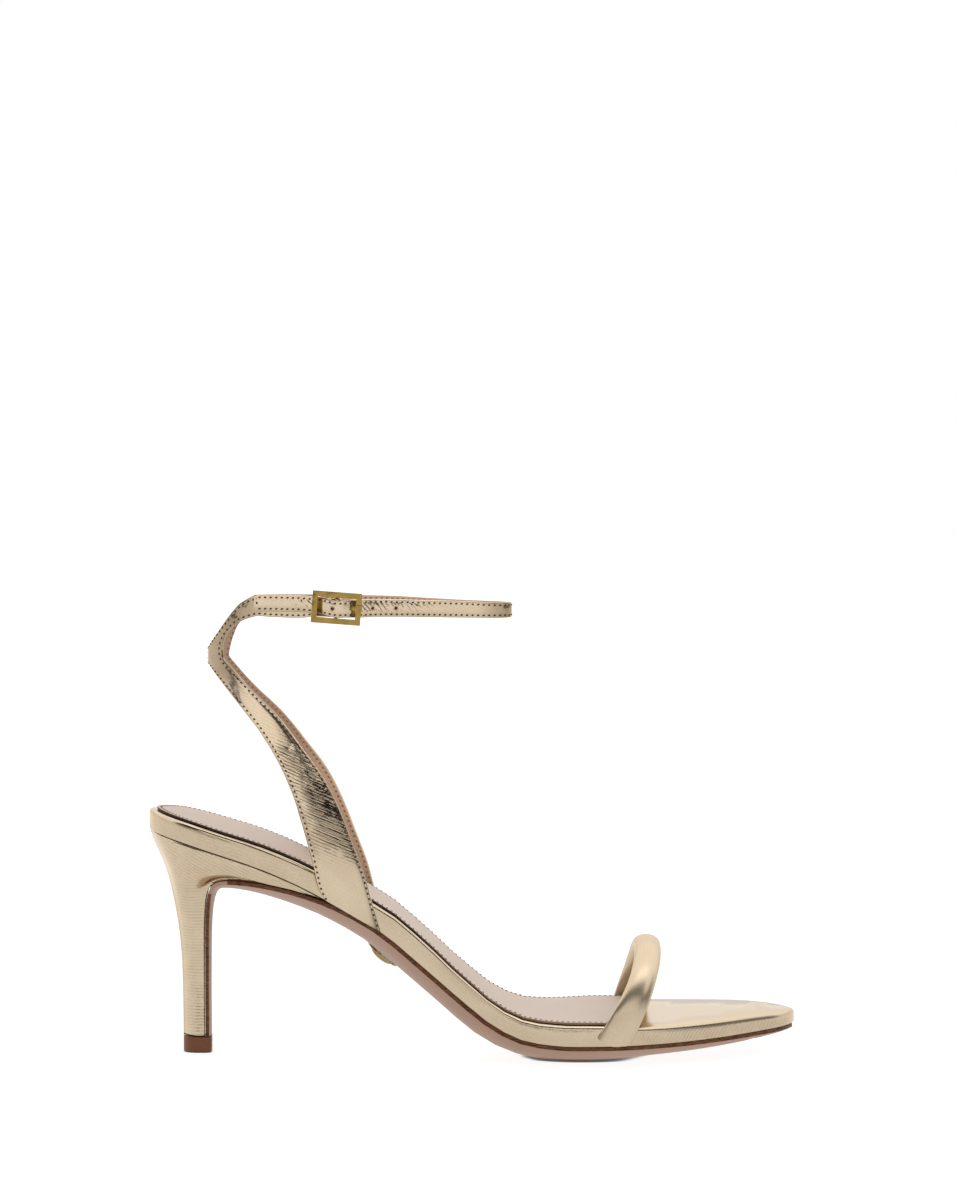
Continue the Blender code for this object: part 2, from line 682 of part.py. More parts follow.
def bar_place():
    """Where the centre bar's middle is: x, y and z."""
    return BUCKLE_PLACE * SOLE_LENGTH, -(ANKLE_HALF + BAR_OUT), BUCKLE_MIDDLE * ANKLE_HEIGHT


def rail_level():
    """How far out the buckle's end rails let a strap pass under them."""
    return -bar_place()[1] + BAR_RECESS - BUCKLE_DEPTH / 2 - GAP


def loop_radius():
    """Outer radius of the strap's short end round the centre bar."""
    return BAR_RADIUS + GAP + CHAPE_THICKNESS


def long_strap_sheet():
    """The long end: round the ankle's front, under the rail, over the bar, under the rail, to its tip."""
    x_bar, y_bar, z_bar = bar_place()
    half = BUCKLE_LENGTH / 2
    over = -y_bar + loop_radius() + GAP + STRAP_THICKNESS
    under = rail_level()
    top, bottom = LONG_STRAP["top"][-1] * ANKLE_HEIGHT, LONG_STRAP["bottom"][-1] * ANKLE_HEIGHT
    tail_top, tail_bottom = TAIL_TOP * ANKLE_HEIGHT, TAIL_BOTTOM * ANKLE_HEIGHT
    course = np.column_stack([
        LONG_STRAP["along"] * SOLE_LENGTH,
        LONG_STRAP["across"] * ANKLE_HALF,
        LONG_STRAP["top"] * ANKLE_HEIGHT,
        LONG_STRAP["bottom"] * ANKLE_HEIGHT,
    ])
    rail = half - BUCKLE_RAIL / 2
    bar_top, bar_bottom = BAR_TOP * ANKLE_HEIGHT, BAR_BOTTOM * ANKLE_HEIGHT
    halfway = under * 0.42 + over * 0.58
    through_buckle = [
        (x_bar + rail + RAIL_PASS, -under, top, bottom),
        (x_bar + rail - RAIL_INSIDE, -under - RAIL_SWELL, top, bottom),
        (x_bar + rail / 2, -halfway, bar_top, bar_bottom),
        (x_bar, -over, bar_top, bar_bottom),
        (x_bar - rail / 2, -halfway, (top + tail_top) / 2, (bottom + tail_bottom) / 2),
        (x_bar - rail + RAIL_INSIDE, -under - RAIL_SWELL, tail_top, tail_bottom),
        (x_bar - rail - RAIL_PASS, -under, tail_top, tail_bottom),
        (x_bar - rail - CHAPE_BACK, -under, tail_top + TAIL_RISE / 2, tail_bottom + TAIL_RISE / 2),
        (TAIL_END * SOLE_LENGTH, -under, tail_top + TAIL_RISE, tail_bottom + TAIL_RISE),
    ]
    return upright_sheet(through(np.vstack([course, through_buckle]), 3), STRAP_THICKNESS)


def chape_sheet():
    """The short end: it loops round the centre bar and lies back on itself, inside the strap."""
    x_bar, y_bar, z_bar = bar_place()
    radius = loop_radius()
    low = rail_level() - STRAP_THICKNESS - GAP
    back = low - 2 * CHAPE_THICKNESS - GAP
    rail = BUCKLE_LENGTH / 2 - BUCKLE_RAIL / 2
    start = (QUARTER["back"][-1] + QUARTER["front"][-1]) / 2 * SOLE_LENGTH
    top, bottom = QUARTER["back_height"][-1] * ANKLE_HEIGHT, QUARTER["front_height"][-1] * ANKLE_HEIGHT
    half = BUCKLE_HEIGHT / 2 - BUCKLE_RAIL - 1.5 * GAP
    loop_top, loop_bottom = z_bar + half, z_bar - half
    course = [
        (start + CHAPE_BACK, -ANKLE_HALF, top, bottom - 0.4 * MM),
        (x_bar - rail - CHAPE_BACK, -low, top - 0.6 * MM, bottom - 0.7 * MM),
        (x_bar - rail, -low, loop_top, loop_bottom),
    ]
    for degrees in (115, 85, 55, 25, -5, -35, -65, -95):
        angle = math.radians(degrees)
        x, y = x_bar + radius * math.cos(angle), y_bar - radius * math.sin(angle)
        course.append((x, y, loop_top, loop_bottom))
    for x in (x_bar - rail / 2, x_bar - rail, x_bar - rail - CHAPE_END):
        course.append((x, -back, loop_top, loop_bottom))
    return upright_sheet(through(course, 2), CHAPE_THICKNESS)


def upper_sheet():
    """All straps of the upper as one open sheet, its outer face; each point holds its thickness."""
    mesh = bmesh.new()
    thick = mesh.verts.layers.float.new("thickness")
    near = quarter_sheet("lateral") + chape_sheet()
    far = quarter_sheet("medial") + long_strap_sheet()
    for sheet, outwards in ((near, True), (far, False)):
        rows = []
        for points, thickness in sheet:
            row = [mesh.verts.new(p) for p in points]
            for vert in row:
                vert[thick] = thickness
            rows.append(row)
        for low, high in zip(rows, rows[1:]):
            for k in range(STRAP_COLUMNS - 1):
                corners = (low[k], low[k + 1], high[k + 1], high[k])
                mesh.faces.new(corners if outwards else corners[::-1])
    bmesh.ops.remove_doubles(mesh, verts=mesh.verts, dist=0.02 * MM)
    return mesh


def upper(collection, shoe, material, cutters):
    """The straps with their thickness, rounded edges and the hole and slot for the prong."""
    made = piece("upper", upper_sheet(), material, collection, shoe)
    group = made.vertex_groups.new(name="thickness")
    shares = [item.value / QUARTER_THICKNESS for item in made.data.attributes["thickness"].data]
    for index, share in enumerate(shares):
        group.add([index], share, "REPLACE")
    wall_maker = made.modifiers.new("wall", "SOLIDIFY")
    wall_maker.thickness = QUARTER_THICKNESS
    wall_maker.offset = -1
    wall_maker.use_quality_normals = True
    wall_maker.vertex_group = "thickness"
    edges = made.modifiers.new("edges", "BEVEL")
    edges.width = STRAP_EDGE_RADIUS
    edges.segments = 1
    edges.limit_method = "ANGLE"
    edges.angle_limit = math.radians(60)
    x_bar, y_bar, z_bar = bar_place()
    slot = 2 * loop_radius() + GAP
    place = (x_bar - 0.05 * slot, y_bar, z_bar)
    cut(made, box_cutter("chape_slot", (1.5 * slot, slot, HOLE_WIDTH), place, cutters, shoe))
    hole = bmesh.new()
    bmesh.ops.create_cone(
        hole, cap_ends=True, segments=20, radius1=0.5, radius2=0.5, depth=4 * STRAP_THICKNESS,
        matrix=Matrix.Rotation(math.radians(90), 4, "X"),
    )
    bmesh.ops.scale(hole, vec=(HOLE_LENGTH, 1, HOLE_WIDTH), verts=hole.verts)
    place = (x_bar + HOLE_PLACE, -rail_level() - 0.3 * STRAP_THICKNESS, z_bar)
    bmesh.ops.translate(hole, vec=place, verts=hole.verts)
    cut(made, cutter("prong_hole", hole, cutters, shoe))
    return made


def box_cutter(name, size, place, cutters, shoe):
    """A box-shaped cutter."""
    mesh = bmesh.new()
    bmesh.ops.create_cube(mesh, size=1.0)
    bmesh.ops.scale(mesh, vec=size, verts=mesh.verts)
    bmesh.ops.translate(mesh, vec=place, verts=mesh.verts)
    return cutter(name, mesh, cutters, shoe)


# Buckle and stud


def buckle(collection, shoe, material, cutters):
    """A flat brass frame whose centre bar is set back on two lugs."""
    x_bar, y_bar, z_bar = bar_place()
    frame = bmesh.new()
    bmesh.ops.create_cube(frame, size=1.0)
    bmesh.ops.scale(frame, vec=(BUCKLE_LENGTH, BUCKLE_DEPTH, BUCKLE_HEIGHT), verts=frame.verts)
    made = piece("buckle", frame, material, collection, shoe)
    window = (BUCKLE_LENGTH - 2 * BUCKLE_RAIL, 3 * BUCKLE_DEPTH, BUCKLE_HEIGHT - 2 * BUCKLE_RAIL)
    tools = [(box_cutter("buckle_window", window, (0, 0, 0), cutters, made), "DIFFERENCE")]
    lug_depth = BAR_RECESS + BAR_RADIUS
    for name, sign in (("lug_top", 1), ("lug_bottom", -1)):
        size = (BAR_LUG, lug_depth, BUCKLE_RAIL * 0.8)
        place = (0, lug_depth / 2, sign * (BUCKLE_HEIGHT - BUCKLE_RAIL) / 2)
        tools.append((box_cutter(name, size, place, cutters, made), "UNION"))
    bar = bmesh.new()
    reach = BUCKLE_HEIGHT - BUCKLE_RAIL
    bmesh.ops.create_cone(
        bar, cap_ends=True, segments=16, radius1=BAR_RADIUS, radius2=BAR_RADIUS, depth=reach
    )
    bmesh.ops.translate(bar, vec=(0, BAR_RECESS, 0), verts=bar.verts)
    tools.append((cutter("centre_bar", bar, cutters, made), "UNION"))
    for tool, operation in tools:
        cut(made, tool, operation)
    edges = made.modifiers.new("edges", "BEVEL")
    edges.width = BUCKLE_EDGE
    edges.segments = 2
    edges.limit_method = "ANGLE"
    edges.angle_limit = math.radians(60)
    made.location = (x_bar, y_bar - BAR_RECESS, z_bar)
    made.rotation_euler = (0, BUCKLE_TILT, 0)
    return made


def prong():
    """A flat tongue hooked round the bar, out through the strap's hole and over the front rail."""
    x_bar, y_bar, z_bar = bar_place()
    radius = BAR_RADIUS + GAP + PRONG_THICKNESS / 2
    rail_face = BAR_RECESS + BUCKLE_DEPTH / 2 + GAP + PRONG_THICKNESS / 2
    rail = (BUCKLE_LENGTH - BUCKLE_RAIL) / 2
    line = []
    for degrees in (100, 145, 190, 235, 280, 325):
        angle = math.radians(degrees)
        line.append((radius * math.cos(angle), radius * math.sin(angle)))
    line += [
        (rail * 0.30, 0.0),
        (rail * 0.50, 0.25 * MM),
        (HOLE_PLACE, rail_face * 0.5),
        (rail * 0.82, rail_face * 0.92),
        (rail * 0.95, rail_face),
        (rail + BUCKLE_RAIL / 2 + 0.3 * MM, rail_face),
    ]
    line = through(line, 3)
    run = np.gradient(line, axis=0)
    run /= np.linalg.norm(run, axis=1)[:, None]
    sections = []
    chamfer = 0.25
    shape = [(-1, -1 + chamfer), (-1, 1 - chamfer), (-1 + chamfer, 1), (1 - chamfer, 1)]
    shape += [(1, 1 - chamfer), (1, -1 + chamfer), (1 - chamfer, -1), (-1 + chamfer, -1)]
    for (x, out), (along, outwards) in zip(line, run):
        ring = []
        for side, face in shape:
            lift = face * PRONG_THICKNESS / 2
            ring.append((
                x_bar + x - outwards * lift,
                y_bar - (out + along * lift),
                z_bar + side * PRONG_WIDTH / 2,
            ))
        sections.append(ring)
    return loft(sections)


def arch_stud(collection, shoe, material):
    """A plain domed stud on a flange, turned, against the sole under the arch."""
    profile = [(0.0, STUD_FLANGE + STUD_DOME)]
    dome_radius = 0.72 * STUD_RADIUS
    for degrees in (18, 36, 54, 72, 90):
        angle = math.radians(degrees)
        profile.append((dome_radius * math.sin(angle), STUD_FLANGE + STUD_DOME * math.cos(angle)))
    profile += [
        (STUD_RADIUS * 0.95, STUD_FLANGE),
        (STUD_RADIUS, STUD_FLANGE * 0.7),
        (STUD_RADIUS, 0.0),
        (0.0, 0.0),
    ]
    data = bpy.data.meshes.new("arch_stud")
    data.from_pydata([(x, 0, z) for x, z in profile], [(k, k + 1) for k in range(len(profile) - 1)], [])
    made = piece("arch_stud", data, material, collection, shoe)
    turn = made.modifiers.new("turned", "SCREW")
    turn.steps = 32
    turn.render_steps = 32
    turn.use_merge_vertices = True
    turn.merge_threshold = 0.01 * MM
    x = STUD_PLACE * SOLE_LENGTH
    run = run_at(x)
    belly = read(PROFILE, "belly", STUD_PLACE) * SOLE_BELLY
    base = Vector(on_path(run, 0.0, -STUD_STAND - belly))
    out = (Vector(on_path(run, 0.0, -1.0)) - Vector(on_path(run, 0.0, 0.0))).normalized()
    made.matrix_local = Matrix.Translation(base) @ out.to_track_quat("Z", "Y").to_matrix().to_4x4()
    return made


def shoe_parts():
    """Builds every piece and centres the shoe over its origin."""
    for made in list(bpy.data.objects):
        bpy.data.objects.remove(made, do_unlink=True)
    scene = bpy.context.scene
    collection = bpy.data.collections.new("sandal")
    cutters = bpy.data.collections.new("cutters")
    scene.collection.children.link(collection)
    scene.collection.children.link(cutters)
    shoe = bpy.data.objects.new("shoe", None)
    collection.objects.link(shoe)
    gold = leather("gold_leather", (0.60, 0.47, 0.29), 0.28, 0.85)
    blush = leather("blush_lining", (0.61, 0.49, 0.42), 0.6)
    nude = leather("nude_sole", (0.41, 0.26, 0.19), 0.55)
    brown = leather("brown_lift", (0.30, 0.13, 0.06), 0.45)
    brass = leather("brass", (0.45, 0.31, 0.10), 0.3, 1.0)
    piece("footbed", footbed(), gold, collection, shoe)
    piece("sock_lining", sock_lining(), blush, collection, shoe)
    piece("outsole", outsole(), nude, collection, shoe)
    piece("heel", heel(), gold, collection, shoe)
    piece("top_lift", top_lift(), brown, collection, shoe)
    piece("toe_strap", toe_strap(), gold, collection, shoe)
    upper(collection, shoe, gold, cutters)
    buckle(collection, shoe, brass, cutters)
    piece("prong", prong(), brass, collection, shoe)
    arch_stud(collection, shoe, brass)
    bpy.context.view_layer.update()
    graph = bpy.context.evaluated_depsgraph_get()
    corners = []
    for made in collection.objects:
        if made.type == "MESH":
            shown = made.evaluated_get(graph)
            corners += [shown.matrix_world @ vert.co for vert in shown.to_mesh().vertices]
            shown.to_mesh_clear()
    corners = np.array(corners)
    low, high = corners.min(axis=0), corners.max(axis=0)
    shoe.location = (-(low[0] + high[0]) / 2, -(low[1] + high[1]) / 2, -low[2])


shoe_parts()
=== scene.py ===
"""The picture of a strappy heeled sandal for the right foot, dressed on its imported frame.

Metres, +Z up, toe towards +X, the outer side of the foot towards -Y. Lengths along the shoe are measured
from the back of the heel, as a shoemaker measures a last, and moved to the frame by HEEL_BACK.
"""

import math

import bmesh
import bpy
import numpy as np
from mathutils import Matrix, Vector


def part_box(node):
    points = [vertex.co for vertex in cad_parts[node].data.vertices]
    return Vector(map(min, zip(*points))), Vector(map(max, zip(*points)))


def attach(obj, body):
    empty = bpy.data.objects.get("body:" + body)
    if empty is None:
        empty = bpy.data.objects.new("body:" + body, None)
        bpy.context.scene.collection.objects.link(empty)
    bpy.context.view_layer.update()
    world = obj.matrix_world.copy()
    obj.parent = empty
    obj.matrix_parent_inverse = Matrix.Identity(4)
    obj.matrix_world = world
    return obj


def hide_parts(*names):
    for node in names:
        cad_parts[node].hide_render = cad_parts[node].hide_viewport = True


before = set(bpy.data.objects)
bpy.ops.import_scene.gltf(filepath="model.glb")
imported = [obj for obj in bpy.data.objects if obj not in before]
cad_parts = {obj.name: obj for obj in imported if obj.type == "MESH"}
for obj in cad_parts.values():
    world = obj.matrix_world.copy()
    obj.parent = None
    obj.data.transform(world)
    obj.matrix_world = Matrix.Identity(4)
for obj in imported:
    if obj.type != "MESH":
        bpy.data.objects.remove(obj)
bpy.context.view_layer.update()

# Outsole
# A leather sole that runs from the toe under the arch and down the breast of the heel. Its face is smooth
# nude leather and its upright edge is trimmed, stained brown and burnished. It is glued on under footbed
# and heel.
MM = 0.001
NUDE = (0.330, 0.190, 0.125)
NUDE_DARK = (0.290, 0.165, 0.105)
NUDE_PALE = (0.365, 0.215, 0.145)
EDGE_BROWN = (0.070, 0.026, 0.012)
EDGE_DARK = (0.045, 0.016, 0.007)
EDGE_WORN = (0.190, 0.078, 0.034)
MERGED = 0.02 * MM  # points of a solid closer together than this are one
SOFT_EDGE = math.radians(38)  # an edge that turns more than this looks sharp
BALL = 30 * MM  # in front of this, from the frame's middle, the sole lies almost level
FRONT_EDGE_RISE = 0.45  # the normals of the upright edge rise less than this in front
SIDE_EDGE_REACH = 0.86  # and reach out to the side by more than this elsewhere


def alone(made):
    """Leaves only this object selected and active."""
    bpy.ops.object.select_all(action="DESELECT")
    made.select_set(True)
    bpy.context.view_layer.objects.active = made


def from_solid(node, name):
    """A copy of a solid with its loose triangles joined to quads, to be finished as the visible piece."""
    made = bpy.data.objects.new(name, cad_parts[node].data.copy())
    bpy.context.collection.objects.link(made)
    alone(made)
    bpy.ops.mesh.customdata_custom_splitnormals_clear()
    bpy.ops.object.mode_set(mode="EDIT")
    bpy.ops.mesh.select_all(action="SELECT")
    bpy.ops.mesh.remove_doubles(threshold=MERGED)
    bpy.ops.mesh.tris_convert_to_quads(face_threshold=math.radians(50), shape_threshold=math.radians(60))
    bpy.ops.mesh.normals_make_consistent(inside=False)
    bpy.ops.object.mode_set(mode="OBJECT")
    bpy.ops.object.shade_smooth_by_angle(angle=SOFT_EDGE)
    return made


def covered(made, *materials):
    """Gives a piece its materials in place of those of its solid."""
    made.data.materials.clear()
    for material in materials:
        made.data.materials.append(material)


def on_shoe(made, slot, *nodes):
    """Fixes a finished piece to the shoe, in place of the solids that it stands for."""
    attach(made, "root")
    if nodes:
        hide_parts(*nodes)


def put(socket, value):
    """Gives an input its value or its link."""
    if isinstance(value, bpy.types.NodeSocket):
        socket.id_data.links.new(value, socket)
    elif socket.type == "RGBA":
        socket.default_value = (*value, 1.0)
    else:
        socket.default_value = value


def adder(tree):
    """The function that adds a node to a tree, with its inputs."""
    def add(kind, **inputs):
        node = tree.nodes.new(kind)
        for key, value in inputs.items():
            put(node.inputs[key], value)
        return node

    return add


def finish(name, colour, roughness, metallic=0.0):
    """A material, its shader, and the function that adds a node to it."""
    material = bpy.data.materials.new(name)
    material.use_nodes = True
    shader = material.node_tree.nodes["Principled BSDF"]
    put(shader.inputs["Base Color"], colour)
    put(shader.inputs["Roughness"], roughness)
    put(shader.inputs["Metallic"], metallic)
    return material, shader, adder(material.node_tree)


def mix(add, share, low, high):
    """A node that mixes two colours by a share."""
    node = add("ShaderNodeMix")
    node.data_type = "RGBA"
    for socket, value in ((node.inputs[0], share), (node.inputs[6], low), (node.inputs[7], high)):
        put(socket, value)
    return node.outputs[2]


def ramp(add, value, stops):
    """A node that turns a value into another by its stops."""
    node = add("ShaderNodeValToRGB", Fac=value)
    band = node.color_ramp
    band.elements[0].position, band.elements[1].position = stops[0][0], stops[-1][0]
    for place, level in stops[1:-1]:
        band.elements.new(place)
    for element, (place, level) in zip(band.elements, stops):
        element.color = (level, level, level, 1.0)
    return node.outputs[0]


def noise(add, scale, detail=2.0, roughness=0.5, place=None):
    """A node of soft noise over a piece."""
    if place is None:
        place = add("ShaderNodeTexCoord").outputs["Object"]
    node = add("ShaderNodeTexNoise", Vector=place, Scale=scale, Detail=detail, Roughness=roughness)
    return node.outputs["Fac"]


def coat(add, shader, tone, height=None, strength=0.3, depth=0.08 * MM):
    """Gives a shader its colour and, where there is a height, the relief that it makes."""
    put(shader.inputs["Base Color"], tone)
    if height is not None:
        relief = add("ShaderNodeBump", Height=height, Strength=strength, Distance=depth)
        put(shader.inputs["Normal"], relief.outputs["Normal"])


sole_leather, shader, add = finish("nude sole leather", NUDE, 0.5)
clouds = noise(add, 55.0, 4.0, 0.6)
pores = noise(add, 1900.0, 3.0, 0.55)
coat(add, shader, mix(add, clouds, NUDE_DARK, NUDE_PALE), pores, 0.25, 0.06 * MM)

edge_stain, shader, add = finish("burnished sole edge", EDGE_BROWN, 0.5)
place = add("ShaderNodeTexCoord").outputs["Object"]
streaked = add("ShaderNodeMapping", Vector=place, Scale=(1.0, 1.0, 6.0)).outputs["Vector"]
streaks = noise(add, 420.0, 4.0, 0.6, streaked)
worn = ramp(add, streaks, ((0.35, 0.0), (0.65, 1.0)))
coat(add, shader, mix(add, worn, EDGE_DARK, EDGE_WORN), streaks, 0.35, 0.1 * MM)
put(shader.inputs["Specular IOR Level"], 0.12)

outsole = from_solid("outsole", "sole")
covered(outsole, sole_leather, edge_stain)
for face in outsole.data.polygons:
    front_edge = face.center.x > BALL and abs(face.normal.z) < FRONT_EDGE_RISE
    side_edge = abs(face.normal.y) > SIDE_EDGE_REACH
    face.material_index = 1 if front_edge or side_edge else 0
on_shoe(outsole, "nude_sole", "outsole")

# Footbed
# A shaped board wrapped in thin gold leather, which is pulled tight over its edge all round. The leather is
# embossed with fine ribs. It is the base to which straps, sole and heel are lasted.
GOLD_LIGHT = (0.60, 0.490, 0.350)
GOLD_DEEP = (0.52, 0.412, 0.285)
GOLD_WORN = (0.85, 0.76, 0.63)
GOLD_SHADE = (0.16, 0.105, 0.055)
FOIL_TINT = (1.0, 0.93, 0.84)
FOIL_DEPTH = 0.07 * MM
RIB_PITCH = 1.1 * MM
FINE_RIB_PITCH = 0.4 * RIB_PITCH
RIB_SCALE = 0.314  # of ribs that are a metre apart
# Sets of ribs: the turn of their normal from the shoe's length in degrees, their depth and their zone. The
# depth also sets how far their grooves are darkened, as painted shade. A zone is a list of soft steps, each
# with its axis, where it is nought and where it is one.
FOOTBED_RIBS = (
    (70, 0.12, (("X", -0.030, -0.060),)),
    (-30, 0.28, (("X", 0.050, 0.062), ("Z", 0.0125, 0.0115))),
)
FOOTBED_CRUMPLED = (("X", 0.012, 0.020), ("X", 0.048, 0.040))


def math_node(add, operation, *values):
    """A node that works one sum."""
    node = add("ShaderNodeMath")
    node.operation = operation
    for socket, value in zip(node.inputs, values):
        put(socket, value)
    return node.outputs[0]


def soft_step(add, value, low, high):
    """A node that rises softly from nought at low to one at high."""
    node = add("ShaderNodeMapRange", **{"Value": value, "From Min": low, "From Max": high})
    node.interpolation_type = "SMOOTHSTEP"
    return node.outputs["Result"]


def masked(add, value, zone, axes=None):
    """A value inside a zone. Unless others are given, its axes are X, Y and Z of the object, and U and V
    along and across a strap."""
    if axes is None:
        coordinates = add("ShaderNodeTexCoord")
        place = add("ShaderNodeSeparateXYZ", Vector=coordinates.outputs["Object"])
        run = add("ShaderNodeSeparateXYZ", Vector=coordinates.outputs["UV"])
        axes = dict(zip("XYZUV", [*place.outputs, *run.outputs[:2]]))
    for axis, low, high in zone:
        value = math_node(add, "MULTIPLY", value, soft_step(add, axes[axis], low, high))
    return value


def waves(add, place, turn, pitch, distortion):
    """A node of ribs a pitch apart, whose normal is turned up by an angle from the length."""
    turned = add("ShaderNodeMapping", Vector=place, Rotation=(0.0, math.radians(turn), 0.0)).outputs["Vector"]
    ribs = add("ShaderNodeTexWave", Vector=turned, Scale=RIB_SCALE / pitch, Distortion=distortion, Detail=2.0)
    put(ribs.inputs["Detail Scale"], 0.5)
    return ribs.outputs["Fac"]


def gold_leather(name, rib_sets, crinkle, crumpled=(), roughness=0.15, bright=1.0, painted_shade=()):
    """Gold foil leather with its sets of ribs, the height of its crinkles and the zone where it is crumpled.
    The ribs' grooves are darkened as painted shade, and bright scales the colour to a lighter or darker copy,
    painted light or shade. The list of painted shade holds shares, each with the zone where the gold is
    darkened towards GOLD_SHADE by so much, as painted shade and darker reflection."""
    material, shader, add = finish(name, GOLD_LIGHT, roughness, 1.0)
    put(shader.inputs["Specular Tint"], FOIL_TINT)
    place = add("ShaderNodeTexCoord").outputs["Object"]
    patches = noise(add, 85.0, 3.0)
    grain = noise(add, 1500.0, 4.0, 0.6)
    uneven = math_node(add, "MULTIPLY", patches, 0.15)
    height = math_node(add, "ADD", math_node(add, "MULTIPLY", grain, 0.2), uneven)
    faded = ramp(add, noise(add, 190.0, 3.0, 0.6), ((0.34, 0.15), (0.62, 1.0)))
    groove_shade = 0.0
    for turn, depth, zone in rib_sets:
        ribs = ramp(add, waves(add, place, turn, RIB_PITCH, 2.6), ((0.0, 0.0), (0.30, 0.85), (1.0, 1.0)))
        fine = waves(add, place, turn, FINE_RIB_PITCH, 2.5)
        ribs = math_node(add, "ADD", ribs, math_node(add, "MULTIPLY", fine, 0.30))
        ribs = masked(add, math_node(add, "MULTIPLY", math_node(add, "SUBTRACT", 1.3, ribs), faded), zone)
        height = math_node(add, "SUBTRACT", height, math_node(add, "MULTIPLY", ribs, depth))
        sunk_shade = math_node(add, "MULTIPLY", ribs, min(depth, 0.6))
        groove_shade = math_node(add, "ADD", groove_shade, sunk_shade)
    cells = add("ShaderNodeTexVoronoi", Vector=place, Scale=520.0)
    cells.feature = "SMOOTH_F1"
    creases = add("ShaderNodeTexNoise", Vector=place, Scale=330.0, Detail=5.0, Roughness=0.65, Distortion=1.2)
    crumple = math_node(add, "ADD", cells.outputs["Distance"], creases.outputs["Fac"])
    crumple = masked(add, math_node(add, "MULTIPLY", crumple, crinkle), crumpled)
    height = math_node(add, "ADD", height, crumple)
    # Bright lightens or darkens this whole copy of the gold: painted light or shade.
    light, deep = (tuple(bright * part for part in gold) for gold in (GOLD_LIGHT, GOLD_DEEP))
    tone = mix(add, patches, deep, light)
    worn = ramp(add, grain, ((0.42, 0.0), (0.70, 1.0)))
    tone = mix(add, math_node(add, "MULTIPLY", worn, 0.12), tone, GOLD_WORN)
    # The grooves of the ribs are darkened towards GOLD_SHADE: painted shade in the recesses.
    tone = mix(add, math_node(add, "MINIMUM", groove_shade, 0.8), tone, GOLD_SHADE)
    # Each zone of the painted shade list darkens the gold towards GOLD_SHADE: painted shade and darker
    # reflection.
    for share, zone in painted_shade:
        tone = mix(add, masked(add, math_node(add, "MULTIPLY", patches, share), zone), tone, GOLD_SHADE)
    coat(add, shader, tone, height, 0.9, FOIL_DEPTH)
    put(shader.inputs["Roughness"], math_node(add, "MULTIPLY_ADD", patches, 0.12, roughness - 0.06))
    return material


footbed = from_solid("footbed", "footbed_cover")
# The footbed's gold is a slightly darker copy, bright 0.93: painted shade.
covered(footbed, gold_leather(
    "gold leather of the footbed", FOOTBED_RIBS, crinkle=0.8, crumpled=FOOTBED_CRUMPLED, bright=0.93))
on_shoe(footbed, "gold_leather", "footbed")

# Sock lining
# A sheet of blush kid leather glued on the footbed, from the heel to just past the toe strap. Its cut edge
# is stained brown at the heel and left pinkish towards the ball.
BLUSH = (0.46, 0.370, 0.315)
BLUSH_DARK = (0.52, 0.402, 0.318)
BLUSH_PALE = (0.59, 0.472, 0.385)
STAIN = (0.110, 0.050, 0.026)
STAIN_DARK = (0.022, 0.010, 0.006)
STAIN_PALE = (0.060, 0.028, 0.016)
RAW_DARK = (0.240, 0.140, 0.088)
RAW_PALE = (0.360, 0.230, 0.155)
STAIN_FADES = (("X", -0.030, 0.015),)
SOCK_FACE_RISE = 0.6  # the normals of the sock's face rise more than this, those of its edge less

blush_leather, shader, add = finish("blush lining leather", BLUSH, 0.55)
place = add("ShaderNodeTexCoord").outputs["Object"]
clouds = noise(add, 40.0, 3.0)
pores = add("ShaderNodeTexVoronoi", Vector=place, Scale=1400.0).outputs["Distance"]
coat(add, shader, mix(add, clouds, BLUSH_DARK, BLUSH_PALE), pores, 0.3, 0.06 * MM)

cut_edge, shader, add = finish("stained cut edge", STAIN, 0.6)
fibre = noise(add, 1600.0, 3.0)
stained = mix(add, fibre, STAIN_DARK, STAIN_PALE)
raw = mix(add, fibre, RAW_DARK, RAW_PALE)
coat(add, shader, mix(add, masked(add, 1.0, STAIN_FADES), stained, raw))

sock = from_solid("sock_lining", "sock")
covered(sock, blush_leather, cut_edge)
for face in sock.data.polygons:
    face.material_index = 1 if abs(face.normal.z) < SOCK_FACE_RISE else 0
on_shoe(sock, "blush_lining", "sock_lining")

# Heel
# A slim moulded block covered with the same ribbed gold leather, the ribs running round it. It is nailed up
# through the footbed.
HEEL_EDGE = 0.6 * MM
# The grooves of these ribs are also darkened as painted shade, most in the narrow band of the deep second set
# low on the stem.
HEEL_RIBS = (
    (90, 0.22, (("Z", 0.072, 0.055),)),
    (90, 0.55, (("X", -0.0985, -0.0970), ("X", -0.0942, -0.0955), ("Z", 0.026, 0.020))),
    (60, 0.24, (("Z", 0.055, 0.066),)),
)


def rounded(made, width, clamp=False):
    """Rounds the sharp edges of a piece with a bevel, applied."""
    alone(made)
    bevel = made.modifiers.new("bevel", "BEVEL")
    bevel.width = width
    bevel.segments = 3
    bevel.limit_method = "ANGLE"
    bevel.angle_limit = math.radians(50)
    bevel.use_clamp_overlap = clamp
    bpy.ops.object.modifier_apply(modifier=bevel.name)
    bpy.ops.object.shade_smooth_by_angle(angle=SOFT_EDGE)


heel = from_solid("heel", "covered_heel")
rounded(heel, HEEL_EDGE)
covered(heel, gold_leather("gold leather of the heel", HEEL_RIBS, crinkle=0.12))
on_shoe(heel, "gold_leather", "heel")

# Top lift
# The hard tip that the heel stands on, moulded of brown rubber with its rim eased. It is pinned into the
# block.
LIFT_BROWN = (0.140, 0.050, 0.020)
LIFT_DARK = (0.125, 0.042, 0.013)
LIFT_PALE = (0.190, 0.070, 0.026)
LIFT_EDGE = 0.25 * MM

